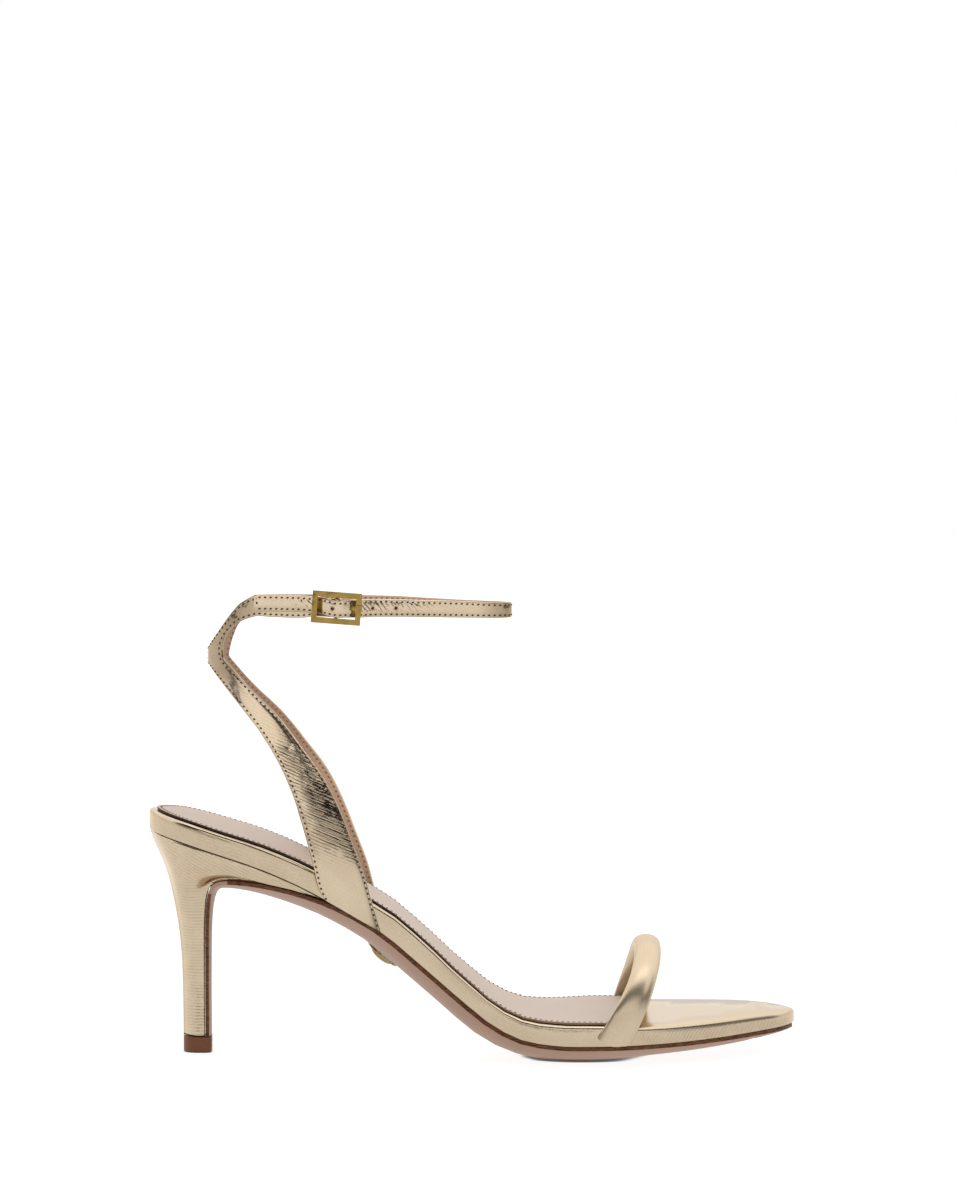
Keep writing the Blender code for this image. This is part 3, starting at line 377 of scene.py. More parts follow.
lift_rubber, shader, add = finish("brown lift rubber", LIFT_BROWN, 0.42)
specks = noise(add, 900.0, 3.0, 0.6)
coat(add, shader, mix(add, specks, LIFT_DARK, LIFT_PALE), specks)
put(shader.inputs["Specular IOR Level"], 0.25)

lift = from_solid("top_lift", "heel_tip")
rounded(lift, LIFT_EDGE)
covered(lift, lift_rubber)
on_shoe(lift, "brown_lift", "top_lift")

# Toe strap
# A tube of gold leather drawn over a soft core, with no stitches on its outside. It is lasted flat under
# the edge of the footbed on both sides.
FOLD_ANGLE = math.radians(62)  # an edge that turns more than this is a fold and stays sharp
TOE_RIBS = ((-12, 0.07, ()),)
TOE_CRUMPLED = (("X", 0.043, 0.047), ("X", 0.057, 0.052), ("Z", 0.007, 0.010), ("Z", 0.025, 0.020))

toe_strap = from_solid("toe_strap", "padded_toe_strap")
shape = bmesh.new()
shape.from_mesh(toe_strap.data)
crease = shape.edges.layers.float.new("crease_edge")
for edge in shape.edges:
    if edge.calc_face_angle() > FOLD_ANGLE:
        edge[crease] = 1.0
shape.to_mesh(toe_strap.data)
shape.free()
alone(toe_strap)
rounder = toe_strap.modifiers.new("rounder", "SUBSURF")
rounder.levels = 2
rounder.render_levels = 2
bpy.ops.object.modifier_apply(modifier=rounder.name)
bpy.ops.object.shade_smooth()
covered(toe_strap, gold_leather(
    "gold leather of the toe strap", TOE_RIBS, crinkle=0.9, crumpled=TOE_CRUMPLED, roughness=0.34))
on_shoe(toe_strap, "gold_leather", "toe_strap")

# Quarter straps
# Two curved straps of gold leather on a nude lining, stitched along both edges. They rise from the arch on
# either side, meet in a short seam behind the ankle and part again into the two ends of the ankle strap.
GAP = 0.3 * MM  # between pieces that touch
SOLE_LENGTH = 228.8 * MM
BALL_WIDTH = 77.2 * MM
SEAT_HEIGHT = 79.6 * MM
ANKLE_HEIGHT = 162.5 * MM
ANKLE_HALF = 14.2 * MM
FOOTBED_THICKNESS = 7.0 * MM
QUARTER_THICKNESS = 1.9 * MM
STRAP_THICKNESS = 1.3 * MM
BACK_DEPTH = 14.5 * MM  # of the round behind the ankle
QUARTER_CLEAR = 1.5 * GAP
FOOT_RISE = 1.15  # how far up a quarter strap lies against the footbed, in thicknesses of it
HEEL_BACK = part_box("footbed")[0].x
MIDDLE = sum(corner.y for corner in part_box("top_lift")) / 2
QUARTER_STEPS = 12


def table(columns, rows):
    """A table with named columns, each one an array."""
    return dict(zip(columns.split(), np.array(rows, float).T))


# The side of the last where the straps are: lateral and medial are shares of BALL_WIDTH, seam of SEAT_HEIGHT
# and wall of FOOTBED_THICKNESS
LAST = table("along lateral medial seam wall", [
    (0.050, 0.280, 0.280, 0.967, 1.01),
    (0.110, 0.346, 0.340, 0.916, 1.00),
    (0.173, 0.357, 0.349, 0.855, 1.02),
    (0.234, 0.350, 0.332, 0.778, 1.02),
    (0.300, 0.334, 0.298, 0.673, 0.99),
    (0.357, 0.322, 0.268, 0.576, 0.97),
    (0.419, 0.322, 0.249, 0.427, 0.98),
])

# The quarter straps from foot to ankle: back edge and front edge as shares of SOLE_LENGTH and ANKLE_HEIGHT,
# and how much lower and further forward the inner strap lies
QUARTER = table("back back_height front front_height medial_down medial_forward", [
    (0.2752, 0.350, 0.3590, 0.283, 0.0000, 0.0000),
    (0.2650, 0.377, 0.3486, 0.334, 0.0000, 0.0000),
    (0.2558, 0.432, 0.3354, 0.402, 0.0000, 0.0000),
    (0.2484, 0.473, 0.3204, 0.458, 0.0000, 0.0000),
    (0.2387, 0.521, 0.2971, 0.543, 0.0000, 0.0000),
    (0.2233, 0.585, 0.2716, 0.613, 0.0000, 0.0000),
    (0.2018, 0.649, 0.2387, 0.677, 0.0015, 0.0000),
    (0.1723, 0.714, 0.2031, 0.741, 0.0030, 0.0000),
    (0.1411, 0.767, 0.1644, 0.794, 0.0035, 0.0000),
    (0.1095, 0.819, 0.1310, 0.842, 0.0020, 0.0000),
    (0.0962, 0.843, 0.1174, 0.861, 0.0000, 0.0015),
    (0.0923, 0.853, 0.1147, 0.869, 0.0000, 0.0045),
    (0.0923, 0.867, 0.1134, 0.882, 0.0000, 0.0080),
    (0.0923, 0.881, 0.1143, 0.896, 0.0000, 0.0100),
    (0.0962, 0.895, 0.1169, 0.908, 0.0030, 0.0100),
    (0.1095, 0.925, 0.1270, 0.929, 0.0060, 0.0055),
    (0.1253, 0.957, 0.1398, 0.943, 0.0070, 0.0010),
    (0.1411, 0.983, 0.1521, 0.951, 0.0075, 0.0000),
    (0.1569, 0.996, 0.1644, 0.956, 0.0075, 0.0000),
    (0.1662, 1.000, 0.1697, 0.958, 0.0070, 0.0000),
])
BACK_SEAM_ROWS = (11, 12, 13)


def through(points, steps):
    """A centripetal Catmull-Rom curve through the points, with so many steps to a span."""
    points = np.array(points, float)
    knots = np.vstack([2 * points[0] - points[1], points, 2 * points[-1] - points[-2]])
    curve = []
    for p0, p1, p2, p3 in zip(knots, knots[1:], knots[2:], knots[3:]):
        t1 = math.sqrt(np.linalg.norm(p1 - p0)) + 1e-9
        t2 = t1 + math.sqrt(np.linalg.norm(p2 - p1)) + 1e-9
        t3 = t2 + math.sqrt(np.linalg.norm(p3 - p2)) + 1e-9
        for t in np.linspace(t1, t2, steps, endpoint=False):
            a1 = (t1 - t) / t1 * p0 + t / t1 * p1
            a2 = (t2 - t) / (t2 - t1) * p1 + (t - t1) / (t2 - t1) * p2
            a3 = (t3 - t) / (t3 - t2) * p2 + (t - t2) / (t3 - t2) * p3
            b1 = (t2 - t) / t2 * a1 + t / t2 * a2
            b2 = (t3 - t) / (t3 - t1) * a2 + (t - t1) / (t3 - t1) * a3
            curve.append((t2 - t) / (t2 - t1) * b1 + (t - t1) / (t2 - t1) * b2)
    curve.append(points[-1])
    return np.array(curve)


def last(column, x):
    """One measure of the last at a length along it."""
    return np.interp(x / SOLE_LENGTH, LAST["along"], LAST[column])


def seam_height(x):
    """Height of the seam between footbed and sole."""
    return last("seam", x) * SEAT_HEIGHT


def spread(side, x, z):
    """Distance of a quarter strap from the middle: against the footbed below, round the ankle above."""
    low = seam_height(x) + last("wall", x) * FOOTBED_THICKNESS * FOOT_RISE
    high = QUARTER["back_height"][BACK_SEAM_ROWS[0]] * ANKLE_HEIGHT
    rise = np.clip((z - low) / (high - low), 0, 1)
    lean = rise * rise * (3 - 2 * rise)
    foot = last(side, x) * BALL_WIDTH + QUARTER_CLEAR + QUARTER_THICKNESS
    reach = foot + (ANKLE_HALF - foot) * lean
    back = QUARTER["back"][BACK_SEAM_ROWS[0]] * SOLE_LENGTH
    forward = np.clip((x - back) / BACK_DEPTH, 0, 1)
    return reach * np.sqrt(1 - (1 - forward) ** 2)


# Across a strap from one edge to the other: how far in each line of the mesh lies, and how far it stands out.
# The edge is rolled under, the stitches pull a groove and the middle is slightly full.
EDGE_LINES = table("inset stand", [
    (0.00, -0.34),
    (0.08, -0.18),
    (0.20, -0.06),
    (0.36, -0.01),
    (0.60, 0.00),
    (0.95, -0.035),
    (1.25, 0.00),
    (1.50, 0.02),
    (1.90, 0.05),
])
MIDDLE_LINES = 11
EDGE_SHARE = 0.49  # of a narrow strap's width, at most, for the lines of one edge
CROWN = 3.7  # fullness of the middle over the width squared, per metre
FULL_WIDTH = 12.0 * MM  # a strap narrower than this is flatter


def lengths(points):
    """The length along a line of points up to each of them."""
    return np.concatenate([[0], np.cumsum(np.linalg.norm(np.diff(points, axis=0), axis=1))])


def at_lengths(places, run, points):
    """The points of a line at some lengths along it."""
    return np.stack([np.interp(places, run, points[:, axis]) for axis in range(3)], axis=-1)


def across(curve_of, count=60):
    """One row of points across a strap, at the edge lines and the middle lines, and how far each is from the
    strap's middle."""
    dense = np.array([curve_of(share) for share in np.linspace(0, 1, count)])
    run = lengths(dense)
    width = run[-1]
    inset = EDGE_LINES["inset"] * MM
    near = np.minimum(inset, width * EDGE_SHARE * inset / inset[-1])
    between = np.linspace(near[-1], width - near[-1], MIDDLE_LINES + 2)[1:-1]
    places = np.concatenate([near, between, (width - near)[::-1]])
    return at_lengths(places, run, dense), places - width / 2


def quarter_rows(side, steps=QUARTER_STEPS):
    """The rows of points of one quarter strap, from its foot up to the ankle, with its thickness at each."""
    sign = -1 if side == "lateral" else 1
    edges = np.column_stack([
        QUARTER["back"] * SOLE_LENGTH,
        QUARTER["back_height"] * ANKLE_HEIGHT,
        QUARTER["front"] * SOLE_LENGTH,
        QUARTER["front_height"] * ANKLE_HEIGHT,
    ])
    if side == "medial":
        down = QUARTER["medial_down"] * ANKLE_HEIGHT
        edges -= np.column_stack([0 * down, down, -QUARTER["medial_forward"] * SOLE_LENGTH, down])
    edges = through(edges, steps)
    seam_x = QUARTER["back"][BACK_SEAM_ROWS[0]] * SOLE_LENGTH
    first, final = BACK_SEAM_ROWS[0] * steps, BACK_SEAM_ROWS[-1] * steps
    rows = []
    for k, (back_x, back_z, front_x, front_z) in enumerate(edges):
        back_x = seam_x if first <= k <= final else max(back_x, seam_x)

        def point(share):
            x = back_x + (front_x - back_x) * share
            z = back_z + (front_z - back_z) * share
            if k == 0:
                z = seam_height(x) + GAP
            return (x, sign * spread(side, x, z), z)

        at, places = across(point)
        rise = k / (len(edges) - 1)
        rows.append((at, places, QUARTER_THICKNESS + (STRAP_THICKNESS - QUARTER_THICKNESS) * rise))
    return rows


def upright_rows(course, thickness):
    """The rows of points of a strap that stands upright, from x, y, top and bottom."""
    rows = []
    for x, y, top, bottom in course:
        at, places = across(lambda share: (x, y, top + (bottom - top) * share), 3)
        rows.append((at, places, thickness))
    return rows


LINING_ROUND = (0.30 * MM, 0.14 * MM)  # how far the first lines of the lining stand back at the edge


def dent_heights(dents, run, places):
    """How far a strap is raised by its dents. A dent has its place along and across, its length and width,
    its turn and its height."""
    raised = np.zeros(places.shape)
    for along, over, long, wide, turn, height in dents:
        ahead = run[:, None] - along
        aside = places - over
        across_dent = ahead * math.cos(turn) + aside * math.sin(turn)
        along_dent = aside * math.cos(turn) - ahead * math.sin(turn)
        raised += height * np.exp(-across_dent ** 2 / wide ** 2 - along_dent ** 2 / long ** 2)
    return raised


def strap(name, rows, outwards, materials, dents=()):
    """A closed strap: its profile outside, its lining inside, and a UV map of lengths along and across."""
    grid = np.array([row[0] for row in rows])
    places = np.array([row[1] for row in rows])
    thickness = np.array([row[2] for row in rows])
    half = grid.shape[1]
    normal = np.cross(np.gradient(grid, axis=0), np.gradient(grid, axis=1))
    normal /= np.linalg.norm(normal, axis=2)[:, :, None] + 1e-12
    normal *= outwards
    stand = EDGE_LINES["stand"] * MM
    profile = np.concatenate([stand, np.full(MIDDLE_LINES, stand[-1]), stand[::-1]])
    width = places[:, -1:] - places[:, :1]
    crown = CROWN * (width ** 2 - 4 * places ** 2) * np.minimum(1, (width / FULL_WIDTH) ** 2)
    inside = np.zeros(half)
    inside[[0, -1]], inside[[1, -2]] = LINING_ROUND
    inner = grid - normal * (thickness[:, None, None] - inside[None, :, None])
    run = lengths(grid[:, half // 2])
    raised = crown + dent_heights(dents, run, places)
    outer = grid + normal * (profile[None, :] + raised)[:, :, None]
    mesh = bmesh.new()
    map_of = mesh.loops.layers.uv.new("strap")
    shift = Vector((HEEL_BACK, MIDDLE, 0.0))
    sections = []
    for k in range(len(rows)):
        ring = [(outer[k][j], (run[k], places[k][j])) for j in range(half)]
        ring += [(inner[k][j], (run[k], places[k][j])) for j in range(half)][::-1]
        sections.append([(mesh.verts.new(Vector(p) + shift), uv) for p, uv in ring])

    def add_face(corners):
        face = mesh.faces.new([corner[0] for corner in corners])
        for loop, corner in zip(face.loops, corners):
            loop[map_of].uv = corner[1]
        return face

    count = 2 * half
    for low, high in zip(sections, sections[1:]):
        for j in range(count):
            n = (j + 1) % count
            face = add_face([low[j], low[n], high[n], high[j]])
            face.material_index = 1 if half <= j < count - 1 else 0
    for ring in (sections[0], sections[-1]):
        for j in range(half - 1):
            add_face([ring[j], ring[j + 1], ring[count - 2 - j], ring[count - 1 - j]])
    bmesh.ops.remove_doubles(mesh, verts=mesh.verts, dist=0.002 * MM)
    bmesh.ops.recalc_face_normals(mesh, faces=mesh.faces)
    data = bpy.data.meshes.new(name)
    mesh.to_mesh(data)
    mesh.free()
    made = bpy.data.objects.new(name, data)
    bpy.context.collection.objects.link(made)
    for material in materials:
        data.materials.append(material)
    alone(made)
    bpy.ops.object.shade_smooth_by_angle(angle=math.radians(60))
    return made, outer, grid, normal, thickness


LINING_NUDE = (0.45, 0.29, 0.19)
LINING_DARK = (0.60, 0.400, 0.265)
LINING_PALE = (0.74, 0.520, 0.365)
LINING_SHADE = (0.130, 0.060, 0.028)
LINING_SHADED = (("Z", 0.085, 0.115), ("X", -0.045, -0.062))
RIB_SLOPE = 67  # the ribs' normal turned up from the shoe's length, in degrees
# The deep first set also darkens the strap's middle stretch through its grooves: painted shade and darker
# reflection.
NEAR_RIBS = (
    (RIB_SLOPE, 0.75, (("Z", 0.066, 0.078), ("Z", 0.118, 0.104))),
    (RIB_SLOPE, 0.10, (("Z", 0.104, 0.118),)),
)
NEAR_CRUMPLED = (("Z", 0.080, 0.086), ("Z", 0.114, 0.108), ("V", 0.0, 0.002))
# Where the near strap bends round behind the ankle its gold is darkened: painted shade and darker reflection.
NEAR_PAINTED_SHADE = ((1.1, (("Z", 0.128, 0.138), ("X", -0.070, -0.084))),)
FAR_RIBS = ((RIB_SLOPE, 0.12, ()),)
FAR_CRUMPLED = (("Z", 0.150, 0.152), ("Y", 0.0, -0.004), ("X", -0.056, -0.040), ("X", -0.002, -0.026))
# The far strap's gold is darkened over the lower half of the ankle strap and towards the front of the ankle:
# painted shade and darker reflection.
FAR_PAINTED_SHADE = (
    (0.55, (("Z", 0.145, 0.150), ("V", 0.0000, 0.0024))),
    (1.25, (("Z", 0.145, 0.150), ("X", 0.001, 0.009))),
)

nude_lining, shader, add = finish("nude strap lining", LINING_NUDE, 0.55)
nap = noise(add, 1200.0, 4.0, 0.6)
shaded = masked(add, 0.45, LINING_SHADED)
coat(add, shader, mix(add, shaded, mix(add, nap, LINING_DARK, LINING_PALE), LINING_SHADE), nap)
# The near strap's gold is darkened at the bend behind the ankle: painted shade and darker reflection.
near_gold = gold_leather(
    "gold leather of the near strap", NEAR_RIBS, crinkle=1.0, crumpled=NEAR_CRUMPLED, roughness=0.12,
    painted_shade=NEAR_PAINTED_SHADE)
# The far strap's gold is a lighter copy, bright 1.15, as painted light, and is darkened in its own zones as
# painted shade and darker reflection.
far_gold = gold_leather(
    "gold leather of the far strap", FAR_RIBS, crinkle=2.4, crumpled=FAR_CRUMPLED, bright=1.15,
    painted_shade=FAR_PAINTED_SHADE)

# Ankle strap
# The long end comes from the inner side, round the front of the ankle and through the buckle. The short
# end, the chape, folds round the buckle's bar and is stitched back on itself.
LONG_STRAP = table("along across top bottom", [
    (0.200, 1.014, 0.9935, 0.9515),
    (0.245, 1.006, 0.993, 0.951),
    (0.290, 0.958, 0.993, 0.951),
    (0.335, 0.894, 0.992, 0.952),
    (0.385, 0.735, 0.991, 0.952),
    (0.435, 0.540, 0.988, 0.951),
    (0.485, 0.380, 0.985, 0.950),
    (0.525, 0.315, 0.983, 0.949),
    (0.549, 0.235, 0.982, 0.949),
    (0.560, 0.000, 0.982, 0.949),
    (0.549, -0.235, 0.982, 0.949),
    (0.525, -0.315, 0.983, 0.949),
    (0.485, -0.380, 0.986, 0.950),
    (0.435, -0.540, 0.989, 0.952),
    (0.390, -0.730, 0.992, 0.954),
    (0.352, -0.925, 0.994, 0.955),
])
TAIL_END = 0.165
TAIL_TOP, TAIL_BOTTOM = 1.001, 0.965
TAIL_RISE = 0.65 * MM
BAR_TOP, BAR_BOTTOM = 0.9925, 0.956
BUCKLE_PLACE = 0.2915
BUCKLE_MIDDLE = 0.9765
BUCKLE_LENGTH = 17.3 * MM
BUCKLE_HEIGHT = 11.2 * MM
BUCKLE_RAIL = 1.9 * MM
BUCKLE_DEPTH = 1.7 * MM
BAR_RADIUS = 0.6 * MM
BAR_RECESS = 1.35 * MM
BAR_OUT = 1.6 * MM
RAIL_PASS = 0.8 * MM
RAIL_INSIDE = 1.0 * MM
RAIL_SWELL = 0.15 * MM
OVER_SHARE = 0.58  # how far the strap has risen over the bar half-way to a rail
CHAPE_THICKNESS = 0.8 * MM
CHAPE_BACK = 5.0 * MM
CHAPE_FOLD = 3.0 * MM
CHAPE_DROP = (0.0, 0.4 * MM)  # of its top and bottom at the start
CHAPE_TAPER = (0.6 * MM, 0.7 * MM)  # of its top and bottom before the buckle
CREASED = (50 * MM, 112 * MM)  # the stretch of the long end that bends at its holes
CREASED_STEPS = 4  # rows there for each row elsewhere
TAIL_TIP = (0.60, 0.40, 0.25, 0.12)  # the last rows, in shares of the last step

x_bar = BUCKLE_PLACE * SOLE_LENGTH
y_bar = -(ANKLE_HALF + BAR_OUT)
z_bar = BUCKLE_MIDDLE * ANKLE_HEIGHT
loop_radius = BAR_RADIUS + GAP + CHAPE_THICKNESS
rail = (BUCKLE_LENGTH - BUCKLE_RAIL) / 2
under = -y_bar + BAR_RECESS - BUCKLE_DEPTH / 2 - GAP
over = -y_bar + loop_radius + GAP + STRAP_THICKNESS
halfway = under * (1 - OVER_SHARE) + over * OVER_SHARE
long_top = LONG_STRAP["top"][-1] * ANKLE_HEIGHT
long_bottom = LONG_STRAP["bottom"][-1] * ANKLE_HEIGHT
tail_top = TAIL_TOP * ANKLE_HEIGHT
tail_bottom = TAIL_BOTTOM * ANKLE_HEIGHT
bar_top = BAR_TOP * ANKLE_HEIGHT
bar_bottom = BAR_BOTTOM * ANKLE_HEIGHT
round_ankle = np.column_stack([
    LONG_STRAP["along"] * SOLE_LENGTH,
    LONG_STRAP["across"] * ANKLE_HALF,
    LONG_STRAP["top"] * ANKLE_HEIGHT,
    LONG_STRAP["bottom"] * ANKLE_HEIGHT,
])
through_buckle = [
    (x_bar + rail + RAIL_PASS, -under, long_top, long_bottom),
    (x_bar + rail - RAIL_INSIDE, -under - RAIL_SWELL, long_top, long_bottom),
    (x_bar + rail / 2, -halfway, bar_top, bar_bottom),
    (x_bar, -over, bar_top, bar_bottom),
    (x_bar - rail / 2, -halfway, (long_top + tail_top) / 2, (long_bottom + tail_bottom) / 2),
    (x_bar - rail + RAIL_INSIDE, -under - RAIL_SWELL, tail_top, tail_bottom),
    (x_bar - rail - RAIL_PASS, -under, tail_top, tail_bottom),
    (x_bar - rail - CHAPE_BACK, -under, tail_top + TAIL_RISE / 2, tail_bottom + TAIL_RISE / 2),
    (TAIL_END * SOLE_LENGTH, -under, tail_top + TAIL_RISE, tail_bottom + TAIL_RISE),
]
course = through(np.vstack([round_ankle, through_buckle]), CREASED_STEPS * 10)
creased = (course[:, 1] < 0) & (course[:, 0] > CREASED[0]) & (course[:, 0] < CREASED[1])
course = course[creased | (np.arange(len(course)) % CREASED_STEPS == 0)]
tip = [course[-1] + (course[-2] - course[-1]) * share for share in TAIL_TIP]
long_rows = upright_rows(np.vstack([course[:-1], tip, course[-1:]]), STRAP_THICKNESS)

chape_out = under - STRAP_THICKNESS - GAP
fold_out = chape_out - 2 * CHAPE_THICKNESS - GAP
chape_start = (QUARTER["back"][-1] + QUARTER["front"][-1]) / 2 * SOLE_LENGTH
chape_top = QUARTER["back_height"][-1] * ANKLE_HEIGHT
chape_bottom = QUARTER["front_height"][-1] * ANKLE_HEIGHT
fold_half = BUCKLE_HEIGHT / 2 - BUCKLE_RAIL - 1.5 * GAP
fold = (z_bar + fold_half, z_bar - fold_half)
course = [
    (chape_start + CHAPE_BACK, -ANKLE_HALF, chape_top - CHAPE_DROP[0], chape_bottom - CHAPE_DROP[1]),
    (x_bar - rail - CHAPE_BACK, -chape_out, chape_top - CHAPE_TAPER[0], chape_bottom - CHAPE_TAPER[1]),
    (x_bar - rail, -chape_out, *fold),
]
for degrees in range(115, -96, -30):
    angle = math.radians(degrees)
    course.append((x_bar + loop_radius * math.cos(angle), y_bar - loop_radius * math.sin(angle), *fold))
for x in (x_bar - rail / 2, x_bar - rail, x_bar - rail - CHAPE_FOLD):
    course.append((x, -fold_out, *fold))
chape_rows = upright_rows(through(course, 6), CHAPE_THICKNESS)

# Wrinkles of the near strap: how many, their stretch along and across it, their size and their height
NEAR_WRINKLES = (
    (26, (0.040, 0.064), (0.0005, 0.0045), 1.1 * MM, 0.11 * MM),
    (10, (0.094, 0.112), (-0.003, 0.003), 1.4 * MM, 0.03 * MM),
    (8, (0.126, 0.138), (-0.003, 0.003), 1.8 * MM, 0.14 * MM),
)
# Creases of the far strap, on either side of the buckle and in two rows that slant against each other
CREASE_STRETCHES = ((74.0, 107.0), (51.5, 57.0))
CREASE_PITCH = 0.85
CREASE_ROWS = ((-0.75 * MM, 0.75), (0.85 * MM, 0.4))  # their place across and their turn
CREASE_SHARE = 0.92  # of the places have a crease
CREASE_HEIGHTS = (0.12, 0.25)
CREASES_FADE = (84 * MM, 107 * MM)
CREASE_LENGTH = 1.0 * MM
CREASE_WIDTH = 0.26 * MM
TAIL_PRESSED = (100 * MM, 0.4 * MM, -0.4 * MM)  # the dent at the tail's end: length, width and height
chance = np.random.default_rng(7)


def wrinkles(count, along, over, size, height):
    """Random small ridges and hollows in a stretch of a strap."""
    made = []
    for _ in range(count):
        place = (chance.uniform(*along), chance.uniform(*over))
        turn = chance.uniform(-0.9, 0.9)
        long = chance.uniform(1.2, 2.6) * size
        made.append((*place, long, size * 0.55, turn, height * chance.choice([-1, 1])))
    return made


quarter_count = (len(QUARTER["back"]) - 1) * QUARTER_STEPS + 1
near_dents = [dent for row in NEAR_WRINKLES for dent in wrinkles(*row)]
near_strap, near_outer, near_grid, near_normal, near_thickness = strap(
    "near_strap", quarter_rows("lateral") + chape_rows, -1, (near_gold, nude_lining), near_dents)

far_rows = quarter_rows("medial") + long_rows
centres = np.array([row[0][len(row[0]) // 2] for row in far_rows])
run = lengths(centres)
near_side = np.flatnonzero((centres[:, 1] < 0) & (np.arange(len(centres)) > quarter_count))[::-1]
far_dents = [(run[-1], 0.0, TAIL_PRESSED[0], TAIL_PRESSED[1], 0.0, TAIL_PRESSED[2])]
for x in np.concatenate([np.arange(*stretch, CREASE_PITCH) for stretch in CREASE_STRETCHES]) * MM:
    along = np.interp(x, centres[near_side, 0], run[near_side])
    for v, turn in CREASE_ROWS:
        if chance.uniform() < CREASE_SHARE:
            v += chance.uniform(-0.3, 0.3) * MM
            height = chance.uniform(*CREASE_HEIGHTS) * MM * np.interp(x, CREASES_FADE, (1.0, 0.5))
            place = (along + v * math.tan(turn), v)
            turn += chance.uniform(-0.25, 0.25)
            far_dents.append((*place, CREASE_LENGTH, CREASE_WIDTH, turn, height))
far_strap, far_outer, far_grid, far_normal, far_thickness = strap(
    "far_strap", far_rows, 1, (far_gold, nude_lining), far_dents)
on_shoe(near_strap, "gold_leather", "upper")
on_shoe(far_strap, "gold_leather")

# Strap holes
# Holes punched through the long end for the prong, one within the buckle and two in front of it. Each has a
# pale rim of bare leather pressed into the gold around it.
HOLE_PLACES = (65.3 * MM, 79.2 * MM, 87.5 * MM)
HOLE_RADIUS = 0.62 * MM
HOLE_BROWN = (0.030, 0.014, 0.008)
HOLE_DARK = (0.022, 0.010, 0.006)
HOLE_PALE = (0.050, 0.024, 0.013)
RIM_RADIUS = HOLE_RADIUS + 0.15 * MM
RIM_THICKNESS = 0.24 * MM
PRESSED = 0.45  # of their height is left to rim and hole

hole_shade, shader, add = finish("shade inside the holes", HOLE_BROWN, 0.8)
coat(add, shader, mix(add, noise(add, 1600.0, 3.0), HOLE_DARK, HOLE_PALE))

holes = []
middle = far_grid.shape[1] // 2
for place in HOLE_PLACES:
    row = near_side[np.argmin(np.abs(centres[near_side, 0] - place))]
    at = Vector(far_outer[row, middle]) + Vector((HEEL_BACK, MIDDLE, 0.0))
    facing = Vector(far_normal[row, middle]).to_track_quat("Z", "X").to_euler()
    for material in (nude_lining, hole_shade):
        bpy.ops.object.select_all(action="DESELECT")
        if material is nude_lining:
            bpy.ops.mesh.primitive_torus_add(
                location=at, rotation=facing, major_radius=RIM_RADIUS, minor_radius=RIM_THICKNESS,
                major_segments=24, minor_segments=8)
        else:
            bpy.ops.mesh.primitive_uv_sphere_add(
                location=at, rotation=facing, radius=HOLE_RADIUS, segments=16, ring_count=8)
        made = bpy.context.object
        made.scale = (1.0, 1.0, PRESSED)
        made.data.materials.append(material)
        holes.append(made)
bpy.ops.object.select_all(action="DESELECT")
for made in holes:
    made.select_set(True)
strap_holes = holes[0]
strap_holes.name = "strap_holes"
bpy.context.view_layer.objects.active = strap_holes
bpy.ops.object.join()
bpy.ops.object.transform_apply(location=True, rotation=True, scale=True)
bpy.ops.object.shade_smooth()
on_shoe(strap_holes, "gold_leather")

# Stitching of the straps
# Brown thread along both edges of every strap, about two millimetres to the stitch and pulled down into the
# leather. On the lining the same rows show a tan thread.
STITCH_PITCH = 1.95 * MM
STITCH_LENGTH = 1.15 * MM
STITCH_WIDTH = 0.74 * MM
STITCH_SLANT = math.radians(16)
STITCH_INSET = 0.95 * MM  # from the strap's edge
STITCH_RINGS = ((-0.5, 0.35), (-0.36, 0.85), (0.0, 1.0), (0.36, 0.85), (0.5, 0.35))  # place and width
STITCH_SIDES = 6
STITCH_BEND = 0.45  # how far its ends go down, in its widths
STITCH_REACH = 0.3 * MM  # the line's direction is taken over this, on either side of a stitch
LINING_SINK = 0.02 * MM
CHAPE_STITCHED = 12  # rows of the chape before the buckle
TAIL_INSET = 0.9 * MM  # of the row of stitches across the tail
BROWN_THREAD = (0.045, 0.018, 0.009)
BROWN_DARK = (0.030, 0.012, 0.006)
BROWN_PALE = (0.075, 0.032, 0.016)
TAN_THREAD = (0.26, 0.150, 0.085)
TAN_DARK = (0.20, 0.110, 0.060)
TAN_PALE = (0.34, 0.210, 0.130)


def thread(name, colour, dark, pale):
    """A twisted thread."""
    material, shader, add = finish(name, colour, 0.7)
    coat(add, shader, mix(add, noise(add, 2600.0), dark, pale))
    return material


def stitch_shape():
    """One stitch lying along X, with Z out of the leather."""
    points = []
    for share, size in STITCH_RINGS:
        sink = STITCH_BEND * STITCH_WIDTH * (2 * share) ** 2
        for k in range(STITCH_SIDES):
            angle = 2 * math.pi / STITCH_SIDES * k
            radius = size * STITCH_WIDTH / 2
            points.append((share * STITCH_LENGTH, radius * math.cos(angle), radius * math.sin(angle) - sink))
    faces = []
    for first in range(0, len(points) - STITCH_SIDES, STITCH_SIDES):
        for k in range(STITCH_SIDES):
            n = (k + 1) % STITCH_SIDES
            faces.append((first + k, first + n, first + STITCH_SIDES + n, first + STITCH_SIDES + k))
    faces.append(tuple(range(STITCH_SIDES))[::-1])
    faces.append(tuple(range(len(points) - STITCH_SIDES, len(points))))
    return points, faces


